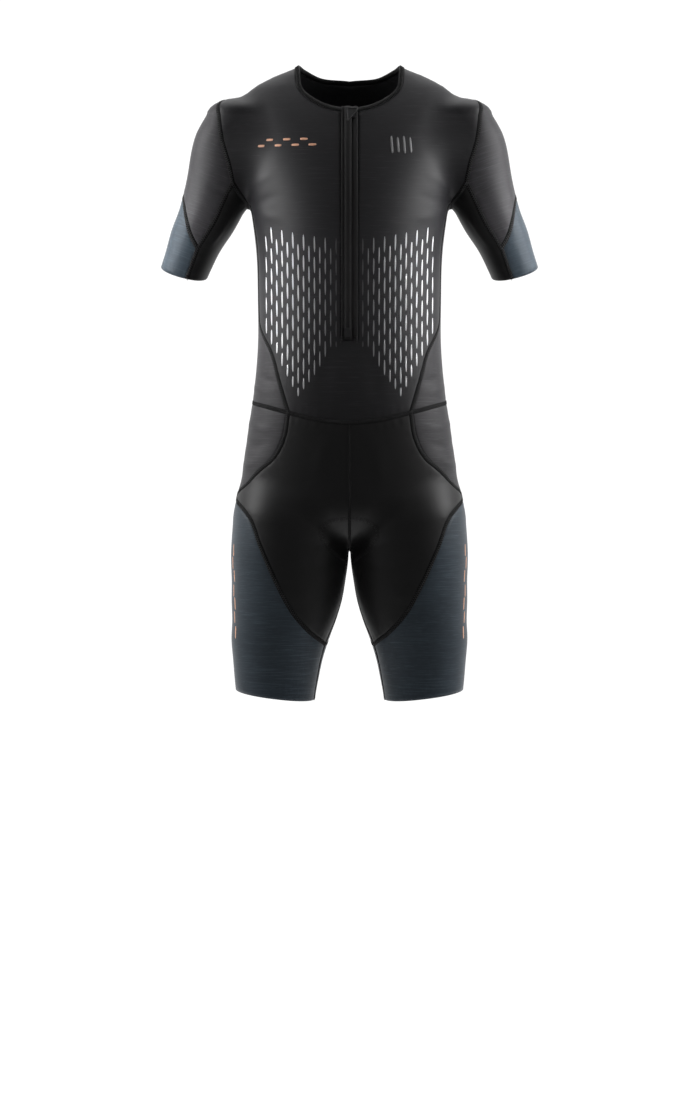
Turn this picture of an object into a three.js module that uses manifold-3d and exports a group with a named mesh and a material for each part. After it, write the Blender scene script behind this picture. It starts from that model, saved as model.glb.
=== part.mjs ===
// A short-sleeved triathlon suit, worn and empty: every cut panel is a closed wall of cloth.
// Millimetres, +Z up, the front faces -Y. The origin is between the two shoulder tops.
import * as THREE from 'three';
import { mergeVertices } from 'three/addons/utils/BufferGeometryUtils.js';
import Module from 'manifold-3d';

const wasm = await Module();
wasm.setup();

// Cloth and seams
const CLOTH = 1.2;
const SEAM_GAP = 0.3;
const BINDING_PROUD = 0.9;
const BINDING_DEPTH = 1.5;

// Zip: its slot in the front, where the two tapes meet, and its ends
const ZIP_HALF = 12.5;
const ZIP_MEET = 4;
const ZIP_TOP = -68.5;
const ZIP_BOTTOM = -423;

// Smooth joins between the body's columns. An arm runs most softly into the chest and the back.
const ARM_BLEND = { least: 18, more: 28, middle: -130, reach: 75 };
const LEG_BLEND = 16;
const CROTCH_BLEND = 6;
const ROUNDNESS = 2.25;

// Steps of the search for the form's skin, and passes that even out a panel's grid
const SLOPE_STEP = 0.2;
const SETTLE_STEPS = 6;
const EVEN_PASSES = 30;
const MARCH = { start: 220, share: 0.8, steps: 200, close: 1e-4 };

// Torso sections: height, half width, depth to the front and to the back
const TORSO = {
  top: 60, topCap: 60, bottom: -655, bottomCap: 79, rows: [
    { z: 60, x: 0, y: 0, half: 60, front: 34, back: 62 },
    { z: 18, x: 0, y: 0, half: 67, front: 34, back: 62 },
    { z: 0, x: 0, y: 0, half: 80, front: 36, back: 66 },
    { z: -17, x: 0, y: 0, half: 119, front: 42, back: 75 },
    { z: -35, x: 0, y: 0, half: 150, front: 53, back: 85 },
    { z: -60, x: 0, y: 0, half: 166, front: 69, back: 96 },
    { z: -90, x: 0, y: 0, half: 170, front: 85, back: 105 },
    { z: -130, x: 0, y: 0, half: 167, front: 101, back: 112 },
    { z: -175, x: 0, y: 0, half: 160, front: 112, back: 115 },
    { z: -225, x: 0, y: 0, half: 151, front: 116, back: 112 },
    { z: -290, x: 0, y: 0, half: 143, front: 112, back: 105 },
    { z: -360, x: 0, y: 0, half: 141, front: 107, back: 99 },
    { z: -430, x: 0, y: 0, half: 141, front: 104, back: 97 },
    { z: -500, x: 0, y: 0, half: 147, front: 104, back: 101 },
    { z: -560, x: 0, y: 0, half: 156, front: 105, back: 110 },
    { z: -610, x: 0, y: 0, half: 163, front: 104, back: 117 },
    { z: -655, x: 0, y: 0, half: 168, front: 101, back: 119 },
  ],
};

// Arm sections, wearer's left: height, centre, half width and half depth
const ARM = {
  top: -75, topCap: 27, bottom: -400, bottomCap: 60, rows: [
    { z: -75, x: 167, y: 0, half: 53, front: 50, back: 52 },
    { z: -88, x: 171, y: 0, half: 57, front: 54, back: 56 },
    { z: -105, x: 176, y: 0, half: 60.5, front: 57, back: 60 },
    { z: -128, x: 181, y: 2, half: 62, front: 59, back: 60 },
    { z: -174, x: 193, y: 7, half: 58, front: 58, back: 58 },
    { z: -217, x: 211, y: 14, half: 51, front: 55, back: 55 },
    { z: -251, x: 227, y: 20, half: 48, front: 52, back: 52 },
    { z: -282, x: 242, y: 27, half: 42, front: 49, back: 49 },
    { z: -308, x: 253, y: 34, half: 39.5, front: 47, back: 47 },
    { z: -340, x: 265, y: 42, half: 37, front: 45, back: 45 },
    { z: -400, x: 286, y: 56, half: 34, front: 43, back: 43 },
  ],
};

// Leg sections, wearer's left: height, centre, half width and half depth
const LEG = {
  top: -700, topCap: 90, bottom: -1040, bottomCap: 60, rows: [
    { z: -700, x: 91, y: 6, half: 88.5, front: 104, back: 106 },
    { z: -736, x: 92, y: 6, half: 90, front: 103, back: 104 },
    { z: -760, x: 92.5, y: 6, half: 90, front: 100, back: 100 },
    { z: -790, x: 94, y: 7, half: 87.5, front: 96, back: 95 },
    { z: -821, x: 96.7, y: 8, half: 85, front: 91, back: 89 },
    { z: -852, x: 100.8, y: 9, half: 80, front: 86, back: 83 },
    { z: -882, x: 107, y: 10, half: 75, front: 81, back: 77 },
    { z: -913, x: 110.5, y: 11, half: 69, front: 76, back: 71 },
    { z: -944, x: 112.5, y: 12, half: 64.5, front: 72, back: 68 },
    { z: -970, x: 113.5, y: 12, half: 61, front: 70, back: 66 },
    { z: -1040, x: 115, y: 12, half: 56, front: 65, back: 62 },
  ],
};

// Hem planes: height at the limb's middle and its rise per millimetre outward and backward
const CUFF_HEM = { x: 256, y: 36, z: -314, outward: 0.3, backward: 0.27 };
const LEG_HEM = { x: 114, y: 12, z: -965.5, outward: 0.122, backward: 0.053 };

// Where the hems are divided, in degrees round the limb: 0 is the front, 90 outward
const CUFF_SPLIT = { front: -10, back: 190 };
const HEM_START = -76;

// Zip tapes across: place and height over the form. The right one carries the covered coil
const COIL_TAPE = [
  { x: -ZIP_HALF, height: 0.4 }, { x: -10.4, height: 1.5 }, { x: -8.4, height: 0.4 },
  { x: -6, height: 1.7 }, { x: -2.4, height: 2.1 }, { x: 1.2, height: 1.7 },
  { x: ZIP_MEET, height: 0.6 },
];
const PLAIN_TAPE = [
  { x: ZIP_MEET, height: 0.6 }, { x: 5.6, height: 0.6 }, { x: 7.4, height: 1.4 },
  { x: 10.4, height: 1.4 }, { x: ZIP_HALF, height: 0.4 },
];

// Slider, pull tab and bottom box: sizes across, along and over the form
const SLIDER = {
  z: -82, width: 9.4, length: 14, corner: 2.2, low: 2.5, high: 4.4, armIn: 2.6, armOut: 4.4,
  armLap: 1, barRadius: 0.7, barLap: 0.2, barAlong: -9.8, barHeight: 3.8,
};
const TAB = {
  low: 4.8, thick: 1.3, eyeRadius: 1.9, eyeWidth: 4.4, boreRadius: 1.05,
  outline: [
    { x: 7.8, along: 0 }, { x: -9.2, along: 0 }, { x: -7, along: 6.4 }, { x: 6.2, along: 23 },
    { x: 7.4, along: 22.4 },
  ],
};
const STOP = { x: -3.4, z: -412, width: 9, length: 14, corner: 1.5, low: 2.5, high: 3.7 };

// Seam rows: x, y, z. The words front and back find y on the form; a number is close to it
const NECK_FRONT = [
  { x: 81, y: 8, z: -4 }, { x: 83, y: 'front', z: -15 }, { x: 81, y: 'front', z: -31 },
  { x: 74, y: 'front', z: -45 }, { x: 54, y: 'front', z: -61 }, { x: 32, y: 'front', z: -71.5 },
  { x: ZIP_HALF, y: 'front', z: -77 },
];
const NECK_BACK = [
  { x: 81, y: 8, z: -4 }, { x: 73, y: 42, z: -9 }, { x: 46, y: 'back', z: -17 },
  { x: 0, y: 'back', z: -21 },
];
const BINDING_FRONT = [
  { x: 75, y: 8, z: 1 }, { x: 76, y: 'front', z: -9 }, { x: 75, y: 'front', z: -24 },
  { x: 70, y: 'front', z: -41 }, { x: 49, y: 'front', z: -58 }, { x: 32, y: 'front', z: -65.5 },
  { x: ZIP_HALF, y: 'front', z: -69.5 },
];
const BINDING_BACK = [
  { x: 75, y: 8, z: 1 }, { x: 67, y: 38, z: -3 }, { x: 44, y: 'back', z: -10 },
  { x: 0, y: 'back', z: -14 },
];
const SHOULDER = [
  { x: 81, y: 8, z: -4 }, { x: 118, y: 6, z: -16 }, { x: 152, y: 4, z: -34 },
  { x: 191, y: 3, z: -49 },
];
const ARMHOLE_FRONT = [
  { x: 191, y: 3, z: -49 }, { x: 198, y: -24, z: -62 }, { x: 199, y: 'front', z: -86 },
  { x: 194, y: 'front', z: -119 }, { x: 184, y: 'front', z: -154 },
  { x: 178, y: 'front', z: -182 },
];
const ARMHOLE_BACK = [
  { x: 191, y: 3, z: -49 }, { x: 198, y: 28, z: -62 }, { x: 198, y: 'back', z: -86 },
  { x: 193, y: 'back', z: -119 }, { x: 184, y: 'back', z: -154 }, { x: 178, y: 'back', z: -182 },
];
const UNDERARM_FRONT = [
  { x: 178, y: 'front', z: -182 }, { x: 168, y: -34, z: -198 }, { x: 157, y: -17, z: -210 },
];
const UNDERARM_BACK = [
  { x: 178, y: 'back', z: -182 }, { x: 166, y: 42, z: -201 }, { x: 154.5, y: 26, z: -214 },
];
const ARMPIT = [
  { x: 157, y: -17, z: -210 }, { x: 156, y: 3, z: -219 }, { x: 154.5, y: 26, z: -214 },
];
const SIDE_FRONT = [
  { x: 157, y: -17, z: -210 }, { x: 149, y: -22, z: -238 }, { x: 143, y: -26, z: -268 },
  { x: 141, y: -24, z: -304 }, { x: 140, y: -22, z: -372 }, { x: 138, y: -24, z: -393 },
  { x: 119.5, y: 'front', z: -441 }, { x: 107, y: 'front', z: -486 },
  { x: 93, y: 'front', z: -533 },
];
const SIDE_BACK = [
  { x: 154.5, y: 26, z: -214 }, { x: 149, y: 27, z: -238 }, { x: 143, y: 30, z: -268 },
  { x: 141, y: 30, z: -304 }, { x: 140, y: 32, z: -365 }, { x: 138, y: 34, z: -385 },
  { x: 124, y: 'back', z: -430 }, { x: 112, y: 'back', z: -472 }, { x: 101, y: 'back', z: -512 },
];
const WAIST_FRONT = [
  { x: ZIP_HALF, y: 'front', z: -548 }, { x: 47, y: 'front', z: -544 },
  { x: 93, y: 'front', z: -533 },
];
const WAIST_SIDE = [
  { x: 93, y: 'front', z: -533 }, { x: 130, y: 'front', z: -523 }, { x: 149, y: 0, z: -516 },
  { x: 132, y: 'back', z: -513 }, { x: 101, y: 'back', z: -512 },
];
const WAIST_BACK = [
  { x: 101, y: 'back', z: -512 }, { x: 50, y: 'back', z: -510 }, { x: 0, y: 'back', z: -510 },
];
const CENTRE_BACK = [
  { x: 0, y: 'back', z: -21 }, { x: 0, y: 'back', z: -120 }, { x: 0, y: 'back', z: -250 },
  { x: 0, y: 'back', z: -380 }, { x: 0, y: 'back', z: -510 },
];
const HIP_FRONT = [
  { x: 93, y: 'front', z: -533 }, { x: 99, y: 'front', z: -570 },
  { x: 114, y: 'front', z: -600 }, { x: 140, y: 'front', z: -623 },
  { x: 160, y: 'front', z: -644 }, { x: 175, y: 4, z: -661 },
];
const HIP_BACK = [
  { x: 101, y: 'back', z: -512 }, { x: 106, y: 'back', z: -556 }, { x: 119, y: 'back', z: -594 },
  { x: 142, y: 'back', z: -622 }, { x: 161, y: 'back', z: -644 }, { x: 175, y: 4, z: -661 },
];
const THIGH_FRONT = [
  { x: 175, y: 4, z: -661 }, { x: 152, y: 'front', z: -692 }, { x: 136, y: 'front', z: -733 },
  { x: 113, y: 'front', z: -786 }, { x: 87, y: 'front', z: -835 },
  { x: 64, y: 'front', z: -863 }, { x: 36, y: -18, z: -889 },
];
const THIGH_BACK = [
  { x: 175, y: 4, z: -661 }, { x: 155, y: 'back', z: -692 }, { x: 139, y: 'back', z: -733 },
  { x: 116, y: 'back', z: -786 }, { x: 89, y: 'back', z: -835 }, { x: 62, y: 'back', z: -866 },
  { x: 36, y: -18, z: -889 },
];
const SEAT_FRONT = [
  { x: 0, y: 'front', z: -548 }, { x: 0, y: 'front', z: -600 }, { x: 0, y: 'front', z: -655 },
  { x: 0, y: 'front', z: -700 }, { x: 0, y: -45, z: -727 }, { x: 0, y: 6, z: -738 },
];
const SEAT_BACK = [
  { x: 0, y: 'back', z: -510 }, { x: 0, y: 'back', z: -585 }, { x: 0, y: 'back', z: -650 },
  { x: 0, y: 'back', z: -700 }, { x: 0, y: 60, z: -727 }, { x: 0, y: 6, z: -738 },
];
const INSEAM_TOP = [
  { x: 0, y: 6, z: -738 }, { x: 3, y: 3, z: -752 }, { x: 6, y: -2, z: -790 },
  { x: 13, y: -7, z: -824 }, { x: 22, y: -12, z: -856 }, { x: 36, y: -18, z: -889 },
];
const CAP_FRONT = [
  { x: 178, y: 'front', z: -182 }, { x: 193, y: 'front', z: -211 },
  { x: 205.5, y: 'front', z: -238 }, { x: 219, y: 'front', z: -260 },
  { x: 233, y: 'front', z: -281 },
];
const CAP_BACK = [
  { x: 178, y: 'back', z: -182 }, { x: 193, y: 'back', z: -207 }, { x: 206, y: 'back', z: -232 },
  { x: 220, y: 'back', z: -252 }, { x: 235, y: 'back', z: -270 },
];
const CUFF_TOP_FRONT = [
  { x: 233, y: 'front', z: -281 }, { x: 244.5, y: 'front', z: -258 },
  { x: 251, y: 'front', z: -232 }, { x: 254, y: -12, z: -208 }, { x: 256, y: 14, z: -197 },
];
const CUFF_TOP_BACK = [
  { x: 235, y: 'back', z: -270 }, { x: 246, y: 'back', z: -250 }, { x: 252, y: 'back', z: -226 },
  { x: 255, y: 38, z: -205 }, { x: 256, y: 14, z: -197 },
];

// How many wall facets each seam gets; both pieces along a seam share them
const COUNT = {
  shoulder: 7, neck: 6, armhole: 8, underarm: 3, armpit: 6, slot: 12, belowSlot: 4, side: 11,
  centreBack: 16, waist: 7, waistSide: 6, hip: 8, thigh: 12, seat: 9, inseam: 11, inseamLow: 6,
  cap: 6, cuffTop: 8, cuffSide: 3, tape: 22,
};

function sectionAt(column, z) {
  const rows = column.rows;
  let i = 0;
  while (i < rows.length - 2 && z < rows[i + 1].z) i += 1;
  const a = rows[i];
  const b = rows[i + 1];
  const span = b.z - a.z;
  const t = (z - a.z) / span;
  const before = rows[Math.max(i - 1, 0)];
  const after = rows[Math.min(i + 2, rows.length - 1)];
  const section = {};
  for (const key of ['x', 'y', 'half', 'front', 'back']) {
    const slopeA = (b[key] - before[key]) / (b.z - before.z) * span;
    const slopeB = (after[key] - a[key]) / (after.z - a.z) * span;
    const rise = b[key] - a[key];
    const c2 = 3 * rise - 2 * slopeA - slopeB;
    const c3 = slopeA + slopeB - 2 * rise;
    section[key] = a[key] + t * (slopeA + t * (c2 + t * c3));
  }
  return section;
}

// Distance to one column's skin, along the ray from its middle; negative inside
function columnDistance(column, x, y, z) {
  const held = Math.min(Math.max(z, column.bottom), column.top);
  const section = sectionAt(column, held);
  const cap = z > held ? column.topCap : column.bottomCap;
  const over = z - held;
  const dx = x - section.x;
  const dy = y - section.y;
  const across = Math.abs(dx / section.half);
  const along = Math.abs(dy / (dy < 0 ? section.front : section.back));
  const flat = (across ** ROUNDNESS + along ** ROUNDNESS) ** (1 / ROUNDNESS);
  const scale = Math.hypot(flat, over === 0 ? 0 : over / cap);
  const reach = Math.hypot(dx, dy, over);
  return reach * (1 - 1 / Math.max(scale, 1e-6));
}

function join(a, b, blend) {
  const near = Math.max(blend - Math.abs(a - b), 0) / blend;
  return Math.min(a, b) - near * near * blend / 4;
}

// The worn suit's outer form
function form(x, y, z) {
  const away = Math.min(Math.abs(z - ARM_BLEND.middle) / ARM_BLEND.reach, 1);
  const armBlend = ARM_BLEND.least + ARM_BLEND.more * Math.cos(away * Math.PI / 2) ** 2;
  const legs = join(columnDistance(LEG, x, y, z), columnDistance(LEG, -x, y, z), CROTCH_BLEND);
  const lower = join(columnDistance(TORSO, x, y, z), legs, LEG_BLEND);
  return join(lower, columnDistance(ARM, Math.abs(x), y, z), armBlend);
}

function gradient(p) {
  const h = SLOPE_STEP;
  return new THREE.Vector3(
    form(p.x + h, p.y, p.z) - form(p.x - h, p.y, p.z),
    form(p.x, p.y + h, p.z) - form(p.x, p.y - h, p.z),
    form(p.x, p.y, p.z + h) - form(p.x, p.y, p.z - h),
  ).divideScalar(2 * h);
}

function onForm(point) {
  const p = point.clone();
  for (let i = 0; i < SETTLE_STEPS; i += 1) {
    const slope = gradient(p);
    const size = Math.max(slope.lengthSq(), 0.05);
    p.addScaledVector(slope, -form(p.x, p.y, p.z) / size);
  }
  return p;
}

// The form's skin met by a straight line along Y, from the front or from the back
function met(x, z, word) {
  const way = word === 'front' ? 1 : -1;
  let y = -MARCH.start * way;
  for (let i = 0; i < MARCH.steps; i += 1) {
    const distance = form(x, y, z);
    if (Math.abs(distance) < MARCH.close) break;
    y += MARCH.share * distance * way;
  }
  return new THREE.Vector3(x, y, z);
}

function place(row) {
  if (typeof row.y === 'string') return met(row.x, row.z, row.y);
  return onForm(new THREE.Vector3(row.x, row.y, row.z));
}

// A seam through its rows, on the form, cut into even lengths
function seam(rows, count) {
  const curve = new THREE.CatmullRomCurve3(rows.map(place), false, 'centripetal');
  curve.arcLengthDivisions = 200;
  const points = curve.getSpacedPoints(count);
  return points.map((p, i) => (i === 0 || i === count ? p : onForm(p)));
}

function between(from, to, count) {
  const points = [];
  for (let i = 0; i <= count; i += 1) points.push(onForm(from.clone().lerp(to, i / count)));
  points[0] = from;
  points[count] = to;
  return points;
}

// Part of a hem: the form cut by a plane, from one angle to another. 0 is the front, 90 outward
function hemArc(column, hem, from, to, count) {
  const points = [];
  for (let i = 0; i <= count; i += 1) {
    const angle = THREE.MathUtils.degToRad(from + (to - from) * i / count);
    const section = sectionAt(column, hem.z);
    let p = new THREE.Vector3(
      hem.x + section.half * Math.sin(angle), hem.y - section.front * Math.cos(angle), hem.z);
    for (let k = 0; k < SETTLE_STEPS; k += 1) {
      p.z = hem.z + (p.x - hem.x) * hem.outward + (p.y - hem.y) * hem.backward;
      p = onForm(p);
    }
    points.push(p);
  }
  return points;
}

const chain = (...parts) => parts.reduce((all, part) => all.concat(part.slice(1)));
const reversed = (points) => [...points].reverse();
const repeated = (point, count) => Array.from({ length: count + 1 }, () => point.clone());
const mirrored = (p) => new THREE.Vector3(-p.x, p.y, p.z);

// A grid between four edges: top and bottom run the same way, and so do left and right
function patch(top, bottom, left, right) {
  const rows = left.length - 1;
  const columns = top.length - 1;
  let grid = [];
  for (let r = 0; r <= rows; r += 1) {
    const v = r / rows;
    grid.push([]);
    for (let c = 0; c <= columns; c += 1) {
      const u = c / columns;
      const p = new THREE.Vector3()
        .addScaledVector(left[r], 1 - u).addScaledVector(right[r], u)
        .addScaledVector(top[c], 1 - v).addScaledVector(bottom[c], v)
        .addScaledVector(top[0], -(1 - u) * (1 - v)).addScaledVector(top[columns], -u * (1 - v))
        .addScaledVector(bottom[0], -(1 - u) * v).addScaledVector(bottom[columns], -u * v);
      grid[r].push(p);
    }
  }
  grid = settled(grid, (p) => onForm(p));
  for (let pass = 0; pass < EVEN_PASSES; pass += 1) grid = settled(grid, relaxed);
  return grid;
}

// The grid with each inner point moved by a rule and put back on the form
function settled(grid, rule) {
  const last = grid.length - 1;
  return grid.map((row, r) => row.map((p, c) => {
    if (r === 0 || r === last || c === 0 || c === row.length - 1) return p;
    return onForm(rule(p, grid, r, c));
  }));
}

function relaxed(p, grid, r, c) {
  return new THREE.Vector3()
    .add(grid[r - 1][c]).add(grid[r + 1][c]).add(grid[r][c - 1]).add(grid[r][c + 1])
    .multiplyScalar(0.25);
}

// A sheet is a list of corners and a list of triangles over one or more grids
function sheetOf(grids) {
  const corners = [];
  const heights = [];
  const triangles = [];
  const index = new Map();
  const add = (p) => {
    const key = `${p.x.toFixed(3)},${p.y.toFixed(3)},${p.z.toFixed(3)}`;
    if (!index.has(key)) {
      index.set(key, corners.length);
      corners.push(p.clone());
      heights.push(p.height ?? 0);
    }
    return index.get(key);
  };
  const triangle = (a, b, c) => {
    if (a !== b && b !== c && c !== a) triangles.push([a, b, c]);
  };
  for (const grid of grids) {
    for (let r = 0; r + 1 < grid.length; r += 1) {
      for (let c = 0; c + 1 < grid[r].length; c += 1) {
        const [a, b] = [grid[r][c], grid[r][c + 1]].map(add);
        const [d, e] = [grid[r + 1][c], grid[r + 1][c + 1]].map(add);
        if (corners[a].distanceTo(corners[e]) < corners[b].distanceTo(corners[d])) {
          triangle(a, d, e);
          triangle(a, e, b);
        } else {
          triangle(a, d, b);
          triangle(b, d, e);
        }
      }
    }
  }
  return { corners, heights, triangles };
}

function boundaryEdges(triangles) {
  const edges = new Map();
  for (const [a, b, c] of triangles) {
    for (const [from, to] of [[a, b], [b, c], [c, a]]) {
      if (edges.has(`${to},${from}`)) edges.delete(`${to},${from}`);
      else edges.set(`${from},${to}`, [from, to]);
    }
  }
  return [...edges.values()];
}

// Turns the sheet so that its triangles face away from the form's inside
function facingOut(sheet) {
  let sign = 0;
  for (const [a, b, c] of sheet.triangles) {
    const [p, q, s] = [sheet.corners[a], sheet.corners[b], sheet.corners[c]];
    const face = new THREE.Vector3().crossVectors(q.clone().sub(p), s.clone().sub(p));
    sign += face.dot(gradient(p));
  }
  if (sign < 0) sheet.triangles = sheet.triangles.map(([a, b, c]) => [a, c, b]);
  return sheet;
}

// Draws the sheet's edge in by half the seam gap, along the form
function drawnIn(sheet, amount) {
  const inward = sheet.corners.map(() => []);
  for (const [from, to] of boundaryEdges(sheet.triangles)) {
    const along = sheet.corners[to].clone().sub(sheet.corners[from]).normalize();
    for (const corner of [from, to]) {
      const normal = gradient(sheet.corners[corner]).normalize();
      inward[corner].push(normal.cross(along).normalize());
    }
  }
  const corners = sheet.corners.map((p, i) => {
    if (inward[i].length === 0) return p;
    const [first, second = inward[i][0]] = inward[i];
    const spread = Math.max(1 + first.dot(second), 0.2);
    return onForm(p.clone().addScaledVector(first.clone().add(second), amount / spread));
  });
  return { ...sheet, corners };
}

// A closed wall over the sheet, from depth under the form to each corner's own height over it
function wall(sheet, depth) {
  const outer = [];
  const inner = [];
  sheet.corners.forEach((p, i) => {
    const normal = gradient(p).normalize();
    outer.push(p.clone().addScaledVector(normal, sheet.heights[i]));
    inner.push(p.clone().addScaledVector(normal, -depth));
  });
  const count = outer.length;
  const faces = [];
  for (const [a, b, c] of sheet.triangles) {
    faces.push(a, b, c);
    faces.push(a + count, c + count, b + count);
  }
  // Both walls along a seam split their rims the same way, by where the ends lie
  const rank = (i) => Math.abs(outer[i].x) + 0.7 * outer[i].y + 1.3 * outer[i].z;
  for (const [from, to] of boundaryEdges(sheet.triangles)) {
    if (rank(from) < rank(to)) {
      faces.push(from, from + count, to + count);
      faces.push(from, to + count, to);
    } else {
      faces.push(from, from + count, to);
      faces.push(to, from + count, to + count);
    }
  }
  const positions = [...outer, ...inner].flatMap((p) => [p.x, p.y, p.z]);
  const geometry = new THREE.BufferGeometry();
  geometry.setAttribute('position', new THREE.Float32BufferAttribute(positions, 3));
  geometry.setIndex(faces);
  geometry.computeVertexNormals();
  return geometry;
}

function cloth(grids) {
  return wall(drawnIn(facingOut(sheetOf(grids)), SEAM_GAP / 2), CLOTH);
}

function mirroredGrid(grid) {
  return grid.map((row) => row.map((p) => Object.assign(mirrored(p), { height: p.height })));
}

// All seams of the wearer's left half
const lines = {
  neckFront: seam(NECK_FRONT, COUNT.neck),
  neckBack: seam(NECK_BACK, COUNT.neck),
  bindingFront: seam(BINDING_FRONT, COUNT.neck),
  bindingBack: seam(BINDING_BACK, COUNT.neck),
  shoulder: seam(SHOULDER, COUNT.shoulder),
  armholeFront: seam(ARMHOLE_FRONT, COUNT.armhole),
  armholeBack: seam(ARMHOLE_BACK, COUNT.armhole),
  underarmFront: seam(UNDERARM_FRONT, COUNT.underarm),
  underarmBack: seam(UNDERARM_BACK, COUNT.underarm),
  armpit: seam(ARMPIT, COUNT.armpit),
  sideFront: seam(SIDE_FRONT, COUNT.side),
  sideBack: seam(SIDE_BACK, COUNT.side),
  waistFront: seam(WAIST_FRONT, COUNT.waist),
  waistSide: seam(WAIST_SIDE, COUNT.waistSide),
  waistBack: seam(WAIST_BACK, COUNT.waist),
  centreBack: seam(CENTRE_BACK, COUNT.centreBack),
  hipFront: seam(HIP_FRONT, COUNT.hip),
  hipBack: seam(HIP_BACK, COUNT.hip),
  thighFront: seam(THIGH_FRONT, COUNT.thigh),
  thighBack: seam(THIGH_BACK, COUNT.thigh),
  seatFront: seam(SEAT_FRONT, COUNT.seat),
  seatBack: seam(SEAT_BACK, COUNT.seat),
  inseam: seam(INSEAM_TOP, COUNT.inseam),
  capFront: seam(CAP_FRONT, COUNT.cap),
  capBack: seam(CAP_BACK, COUNT.cap),
  cuffTopFront: seam(CUFF_TOP_FRONT, COUNT.cuffTop),
  cuffTopBack: seam(CUFF_TOP_BACK, COUNT.cuffTop),
};
const sidePoint = lines.hipFront.at(-1);
const thighEnd = lines.inseam.at(-1);

function zipEdge(from, to, count) {
  const points = [];
  for (let i = 0; i <= count; i += 1) {
    points.push(met(ZIP_HALF, from + (to - from) * i / count, 'front'));
  }
  return points;
}

const acrossMiddle = (grid) => mirroredGrid(grid).map(reversed);

function frontGrids() {
  const slot = zipEdge(lines.neckFront.at(-1).z, ZIP_BOTTOM, COUNT.slot);
  const below = zipEdge(ZIP_BOTTOM, lines.waistFront[0].z, COUNT.belowSlot);
  const inner = chain(lines.neckFront, slot, below);
  const outer = chain(lines.armholeFront, lines.underarmFront, lines.sideFront);
  const half = patch(lines.shoulder, lines.waistFront, inner, outer);
  const strip = below.map((p) => [mirrored(p), met(0, p.z, 'front'), p]);
  return [half, acrossMiddle(half), strip];
}

function backGrids() {
  const inner = chain(lines.neckBack, lines.centreBack);
  const outer = chain(lines.armholeBack, lines.underarmBack, lines.sideBack);
  const half = patch(lines.shoulder, reversed(lines.waistBack), inner, outer);
  return [half, acrossMiddle(half)];
}

function sidePatch() {
  return patch(lines.armpit, lines.waistSide, lines.sideFront, lines.sideBack);
}

// Sleeve: a cap over the shoulder, an underarm piece and a cuff piece on the outer side
function sleevePatches() {
  const inward = hemArc(ARM, CUFF_HEM, CUFF_SPLIT.front, CUFF_SPLIT.back - 360,
    2 * COUNT.underarm + COUNT.armpit);
  const outward = hemArc(ARM, CUFF_HEM, CUFF_SPLIT.front, CUFF_SPLIT.back, 2 * COUNT.cuffTop);
  const front = between(lines.capFront.at(-1), outward[0], COUNT.cuffSide);
  const back = between(lines.capBack.at(-1), outward.at(-1), COUNT.cuffSide);
  const cuffTop = chain(lines.cuffTopFront, reversed(lines.cuffTopBack));
  const armhole = chain(reversed(lines.armholeFront), lines.armholeBack);
  const under = chain(lines.underarmFront, lines.armpit, reversed(lines.underarmBack));
  return {
    sleeve_cap: patch(armhole, cuffTop, lines.capFront, lines.capBack),
    sleeve_inner: patch(under, inward, chain(lines.capFront, front), chain(lines.capBack, back)),
    sleeve_cuff: patch(cuffTop, outward, front, back),
  };
}

// Shorts: front and seat panels close at a point on the inseam, the hip panel at the side point
function shortsPatches() {
  const frontTop = [lines.seatFront[0], ...lines.waistFront];
  const backTop = reversed(lines.waistBack);
  const hem = hemArc(LEG, LEG_HEM, HEM_START, HEM_START + 360, 2 * COUNT.thigh);
  hem[hem.length - 1] = hem[0];
  const inseamLow = between(thighEnd, hem[0], COUNT.inseamLow);
  return {
    shorts_front: patch(frontTop, repeated(thighEnd, frontTop.length - 1),
      chain(lines.seatFront, lines.inseam), chain(lines.hipFront, lines.thighFront)),
    shorts_back: patch(backTop, repeated(thighEnd, COUNT.waist),
      chain(lines.seatBack, lines.inseam), chain(lines.hipBack, lines.thighBack)),
    hip: patch(lines.waistSide, repeated(sidePoint, COUNT.waistSide),
      lines.hipFront, lines.hipBack),
    thigh: patch(chain(reversed(lines.thighFront), lines.thighBack), hem, inseamLow, inseamLow),
  };
}

// The ribbed tape folded over the neck edge, in one strip from one side of the zip to the other
function neckBinding() {
  const low = chain(reversed(lines.neckFront), lines.neckBack);
  const high = chain(reversed(lines.bindingFront), lines.bindingBack);
  const half = [0, 0.5, 1].map((share) => low.map((p, i) => {
    const point = onForm(p.clone().lerp(high[i], share));
    point.height = BINDING_PROUD * (share === 0.5 ? 1 : 0.5);
    return point;
  }));
  const sheet = facingOut(sheetOf([half, acrossMiddle(half)]));
  return wall(drawnIn(sheet, SEAM_GAP / 2), BINDING_DEPTH);
}

// A zip tape from a profile across the zip: place across and height over the form
function zipTape(profile) {
  const grid = [];
  for (let i = 0; i <= COUNT.tape; i += 1) {
    const z = ZIP_TOP + (ZIP_BOTTOM - ZIP_TOP) * i / COUNT.tape;
    grid.push(profile.map(({ x, height }) => Object.assign(met(x, z, 'front'), { height })));
  }
  return wall(drawnIn(facingOut(sheetOf([grid])), SEAM_GAP / 2), CLOTH);
}

// Small hard pieces stand in a frame on the zip: X to the suit's right, Y down, Z outward
function zipFrame(x, z) {
  const point = met(x, z, 'front');
  const away = gradient(point).setX(0).normalize();
  const across = new THREE.Vector3(-1, 0, 0);
  const down = new THREE.Vector3().crossVectors(away, across);
  return new THREE.Matrix4().makeBasis(across, down, away).setPosition(point);
}

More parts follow.
